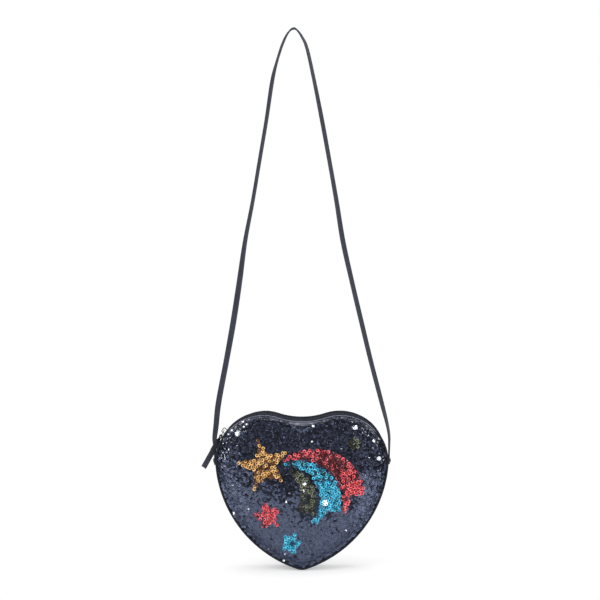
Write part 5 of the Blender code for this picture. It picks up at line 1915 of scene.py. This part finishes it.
def strap_frames(sizes):
    """Centre, width direction and thickness direction along the strap, at short steps."""
    centre_x = sizes.lobe_offset + sizes.lobe_radius + GAP + sizes.strap_thickness / 2
    left_rivet = (HINGE.x - centre_x, 0.0, -sizes.strap_drop, 0.0)
    right_rivet = (HINGE.x + centre_x, 0.0, -sizes.strap_drop, 0.0)
    left_leg = leg_places(LEFT_LEG, left_rivet)
    right_leg = leg_places(RIGHT_LEG, right_rivet)
    places = [left_rivet, *left_leg, (0.0, 0.0, 0.0, 0.0), *right_leg, right_rivet]
    stations = [tail_end(left_rivet, left_leg[0]), left_rivet]
    for index in range(1, len(places) - 2):
        start, end = places[index], places[index + 1]
        steps = max(3, round((Vector(end[:3]) - Vector(start[:3])).length / STRAP_STEP))
        for step in range(steps):
            stations.append(smooth_between(places[index - 1], start, end, places[index + 2], step / steps))
    stations += [places[-2], right_rivet, tail_end(right_rivet, right_leg[-1])]
    lift = Vector((0.0, 0.0, sizes.strap_thickness / 2))
    frames = []
    for index, (x, y, z, turn) in enumerate(stations):
        before = Vector(stations[max(0, index - 1)][:3])
        after = Vector(stations[min(len(stations) - 1, index + 1)][:3])
        along = (after - before).normalized()
        wide = Vector((0.0, 1.0, 0.0))
        wide = (wide - along * wide.dot(along)).normalized()
        wide = Matrix.Rotation(math.radians(turn), 3, along) @ wide
        frames.append((Vector((x, y, z)) + lift, wide, along.cross(wide)))
    return frames


class HEARTBAG_OT_strap(bpy.types.Operator):
    """Make the narrow leather strap with its turned edges and edge stitching"""

    bl_idname = "heart_bag.strap"
    bl_label = "Strap"

    def execute(self, context):
        sizes = context.scene.bag_sizes
        frames = strap_frames(sizes)
        half_width = sizes.strap_width / 2
        half_thick = sizes.strap_thickness / 2
        profile = list(STRAP_FACE) + [(across, -thick) for across, thick in reversed(STRAP_FACE)]
        sections, edges = [], []
        for centre, wide, thick in frames:
            sections.append([centre + wide * (half_width * a) + thick * (half_thick * t) for a, t in profile])
            # Painted light: the right leg is painted lighter with the edge colour; the edges are scuffed.
            rubbed_and_lit = min(STRAP_LIT_MOST, share_of(centre.x, *STRAP_LIT))
            edges += [max(rubbed_and_lit, share_of(abs(a), *STRAP_EDGES)) for a, _ in profile]
        strap = lofted("strap_leather_strip", sections, "strap_leather", sharp=60)
        set_attribute(strap, "edge", edges)
        place(strap, "strap", "dark_leather", "strap")
        aside, above = STRAP_STITCH_PLACE
        rows = []
        for side in (-1, 1):
            for face in (-1, 1):
                row = [(centre + wide * (side * half_width * aside) + thick * (face * half_thick * above),
                        thick * face) for centre, wide, thick in frames[3:-3]]
                rows.append((row, False))
        stitches("strap_stitches", "strap", rows, STRAP_STITCH)
        return {"FINISHED"}


class HEARTBAG_OT_lining(bpy.types.Operator):
    """Make the lining cloth and give the board inside its finish"""

    bl_idname = "heart_bag.lining"
    bl_label = "Lining"

    def execute(self, context):
        sizes = context.scene.bag_sizes
        outline = HeartOutline(sizes)
        for node in ("front_lining", "back_lining"):
            low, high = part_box(node)
            rings = heart_sheet(outline, INNER_INSET, low.y, high.y)
            sheet = lofted(node + "_cloth", rings, "lining", sharp=40)
            place(sheet, "bag", "lining_cloth", node)
        low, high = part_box("gusset_lining")
        band = rounded_band(*GUSSET_LINING_INSETS, low.y, high.y)
        sections = band_sections(outline, outline.lower(), band)
        cloth = lofted("gusset_lining_cloth", sections, "lining", sharp=50)
        place(cloth, "bag", "lining_cloth", "gusset_lining")
        board = frame["nodes"]["back_board"]
        board.data.materials.clear()
        board.data.materials.append(finish("board"))
        return {"FINISHED"}


# Stage

def area_light(name, place_at, aim_z, size, power):
    """A soft square light aimed at a height over the middle of the floor."""
    data = bpy.data.lights.new(name, "AREA")
    data.size = size
    data.energy = power
    made = new_object(name, data)
    made.location = place_at
    aim = Vector((0.0, 0.0, aim_z)) - Vector(place_at)
    made.rotation_euler = aim.to_track_quat("-Z", "Y").to_euler()


class HEARTBAG_OT_stage(bpy.types.Operator):
    """Set up the white studio floor, the soft lights and the camera"""

    bl_idname = "heart_bag.stage"
    bl_label = "Stage"

    def execute(self, context):
        scene = context.scene
        scene.view_settings.view_transform = "Standard"
        world = bpy.data.worlds.new("studio")
        scene.world = world
        world.use_nodes = True
        tree = world.node_tree
        tree.nodes.clear()
        strength = times_plus(tree, self.seen(tree), 1.0 - WORLD_LIGHT, WORLD_LIGHT)
        light = add(tree, "ShaderNodeBackground", {"Color": WHITE, "Strength": strength})
        add(tree, "ShaderNodeOutputWorld", {"Surface": light.outputs[0]})
        floor_z = CAD_BOX[0][2] - FLOOR_GAP
        floor = mesh_object("studio_floor", [(x, y, floor_z) for x, y in FLOOR_CORNERS], [(0, 1, 2, 3)],
                            self.floor_material())
        for light in LIGHTS:
            area_light(*light)
        data = bpy.data.cameras.new("camera")
        data.sensor_width = CAMERA_SENSOR
        data.lens = CAMERA_LENS
        camera = new_object("camera", data)
        camera.location = CAMERA_PLACE
        camera.rotation_euler = (math.pi / 2, 0.0, 0.0)
        scene.camera = camera
        return {"FINISHED"}

    @staticmethod
    def seen(tree):
        """One where the camera sees a surface straight, in a reflection or through glass."""
        rays = add(tree, "ShaderNodeLightPath").outputs
        mirrored = maths(tree, "MAXIMUM", rays["Is Glossy Ray"], rays["Is Transmission Ray"])
        return maths(tree, "MAXIMUM", rays["Is Camera Ray"], mirrored)

    def floor_material(self):
        """White paper that takes the object's shadow and turns pure white further off."""
        made, tree, shader = blank_material("white_paper")
        spot = object_place(tree)
        away = distance(tree, flattened(tree, spot, (1.0, 1.0, 0.0)), (HINGE.x, 0.0, 0.0))
        bare = times(tree, ramp(tree, away, *FLOOR_FADE), self.seen(tree))
        glow = times(tree, self.seen(tree), FLOOR_LIGHT[0])
        fibre = noise(tree, spot, 300.0, 2.0)
        paper = mix_colour(tree, fibre, *[rgba(WHITE[:3], share) for share in FLOOR_GREYS])
        connect(tree, shader, {
            "Base Color": mix_colour(tree, bare, paper, BLACK),
            "Roughness": 0.9,
            "Specular IOR Level": 0.0,
            "Emission Color": WHITE,
            "Emission Strength": times_plus(tree, bare, FLOOR_LIGHT[1], glow)})
        return made


class HEARTBAG_PT_panel(bpy.types.Panel):
    """Sidebar panel that lists the bag's pieces and sizes"""

    bl_idname = "HEARTBAG_PT_panel"
    bl_label = "Heart Bag"
    bl_space_type = "VIEW_3D"
    bl_region_type = "UI"
    bl_category = "Heart Bag"

    def draw(self, context):
        layout = self.layout
        for group in (context.scene.bag_sizes, context.scene.sequin_sizes, context.scene.bag_colours):
            box = layout.box()
            for key in group.__annotations__:
                box.prop(group, key)
        for operator in STEPS:
            layout.operator(operator.bl_idname)


GROUPS = (BagSizes, SequinSizes, BagColours)
STEPS = (
    HEARTBAG_OT_stage,
    HEARTBAG_OT_front_panel,
    HEARTBAG_OT_sequins,
    HEARTBAG_OT_back_panel,
    HEARTBAG_OT_piping,
    HEARTBAG_OT_gusset,
    HEARTBAG_OT_anchors,
    HEARTBAG_OT_zip,
    HEARTBAG_OT_pull,
    HEARTBAG_OT_strap,
    HEARTBAG_OT_lining,
)


def register():
    """Register the classes and hang the settings on the scene."""
    for made in GROUPS + STEPS + (HEARTBAG_PT_panel,):
        bpy.utils.register_class(made)
    bpy.types.Scene.bag_sizes = bpy.props.PointerProperty(type=BagSizes)
    bpy.types.Scene.sequin_sizes = bpy.props.PointerProperty(type=SequinSizes)
    bpy.types.Scene.bag_colours = bpy.props.PointerProperty(type=BagColours)


def unregister():
    """Take the settings and classes away again."""
    del bpy.types.Scene.bag_colours
    del bpy.types.Scene.sequin_sizes
    del bpy.types.Scene.bag_sizes
    for made in reversed(GROUPS + STEPS + (HEARTBAG_PT_panel,)):
        bpy.utils.unregister_class(made)


def main():
    """Build the whole bag."""
    register()
    bpy.ops.heart_bag.stage()
    bpy.ops.heart_bag.front_panel()
    bpy.ops.heart_bag.sequins()
    bpy.ops.heart_bag.back_panel()
    bpy.ops.heart_bag.piping()
    bpy.ops.heart_bag.gusset()
    bpy.ops.heart_bag.anchors()
    bpy.ops.heart_bag.zip()
    bpy.ops.heart_bag.pull()
    bpy.ops.heart_bag.strap()
    bpy.ops.heart_bag.lining()


if __name__ == "__main__":
    main()
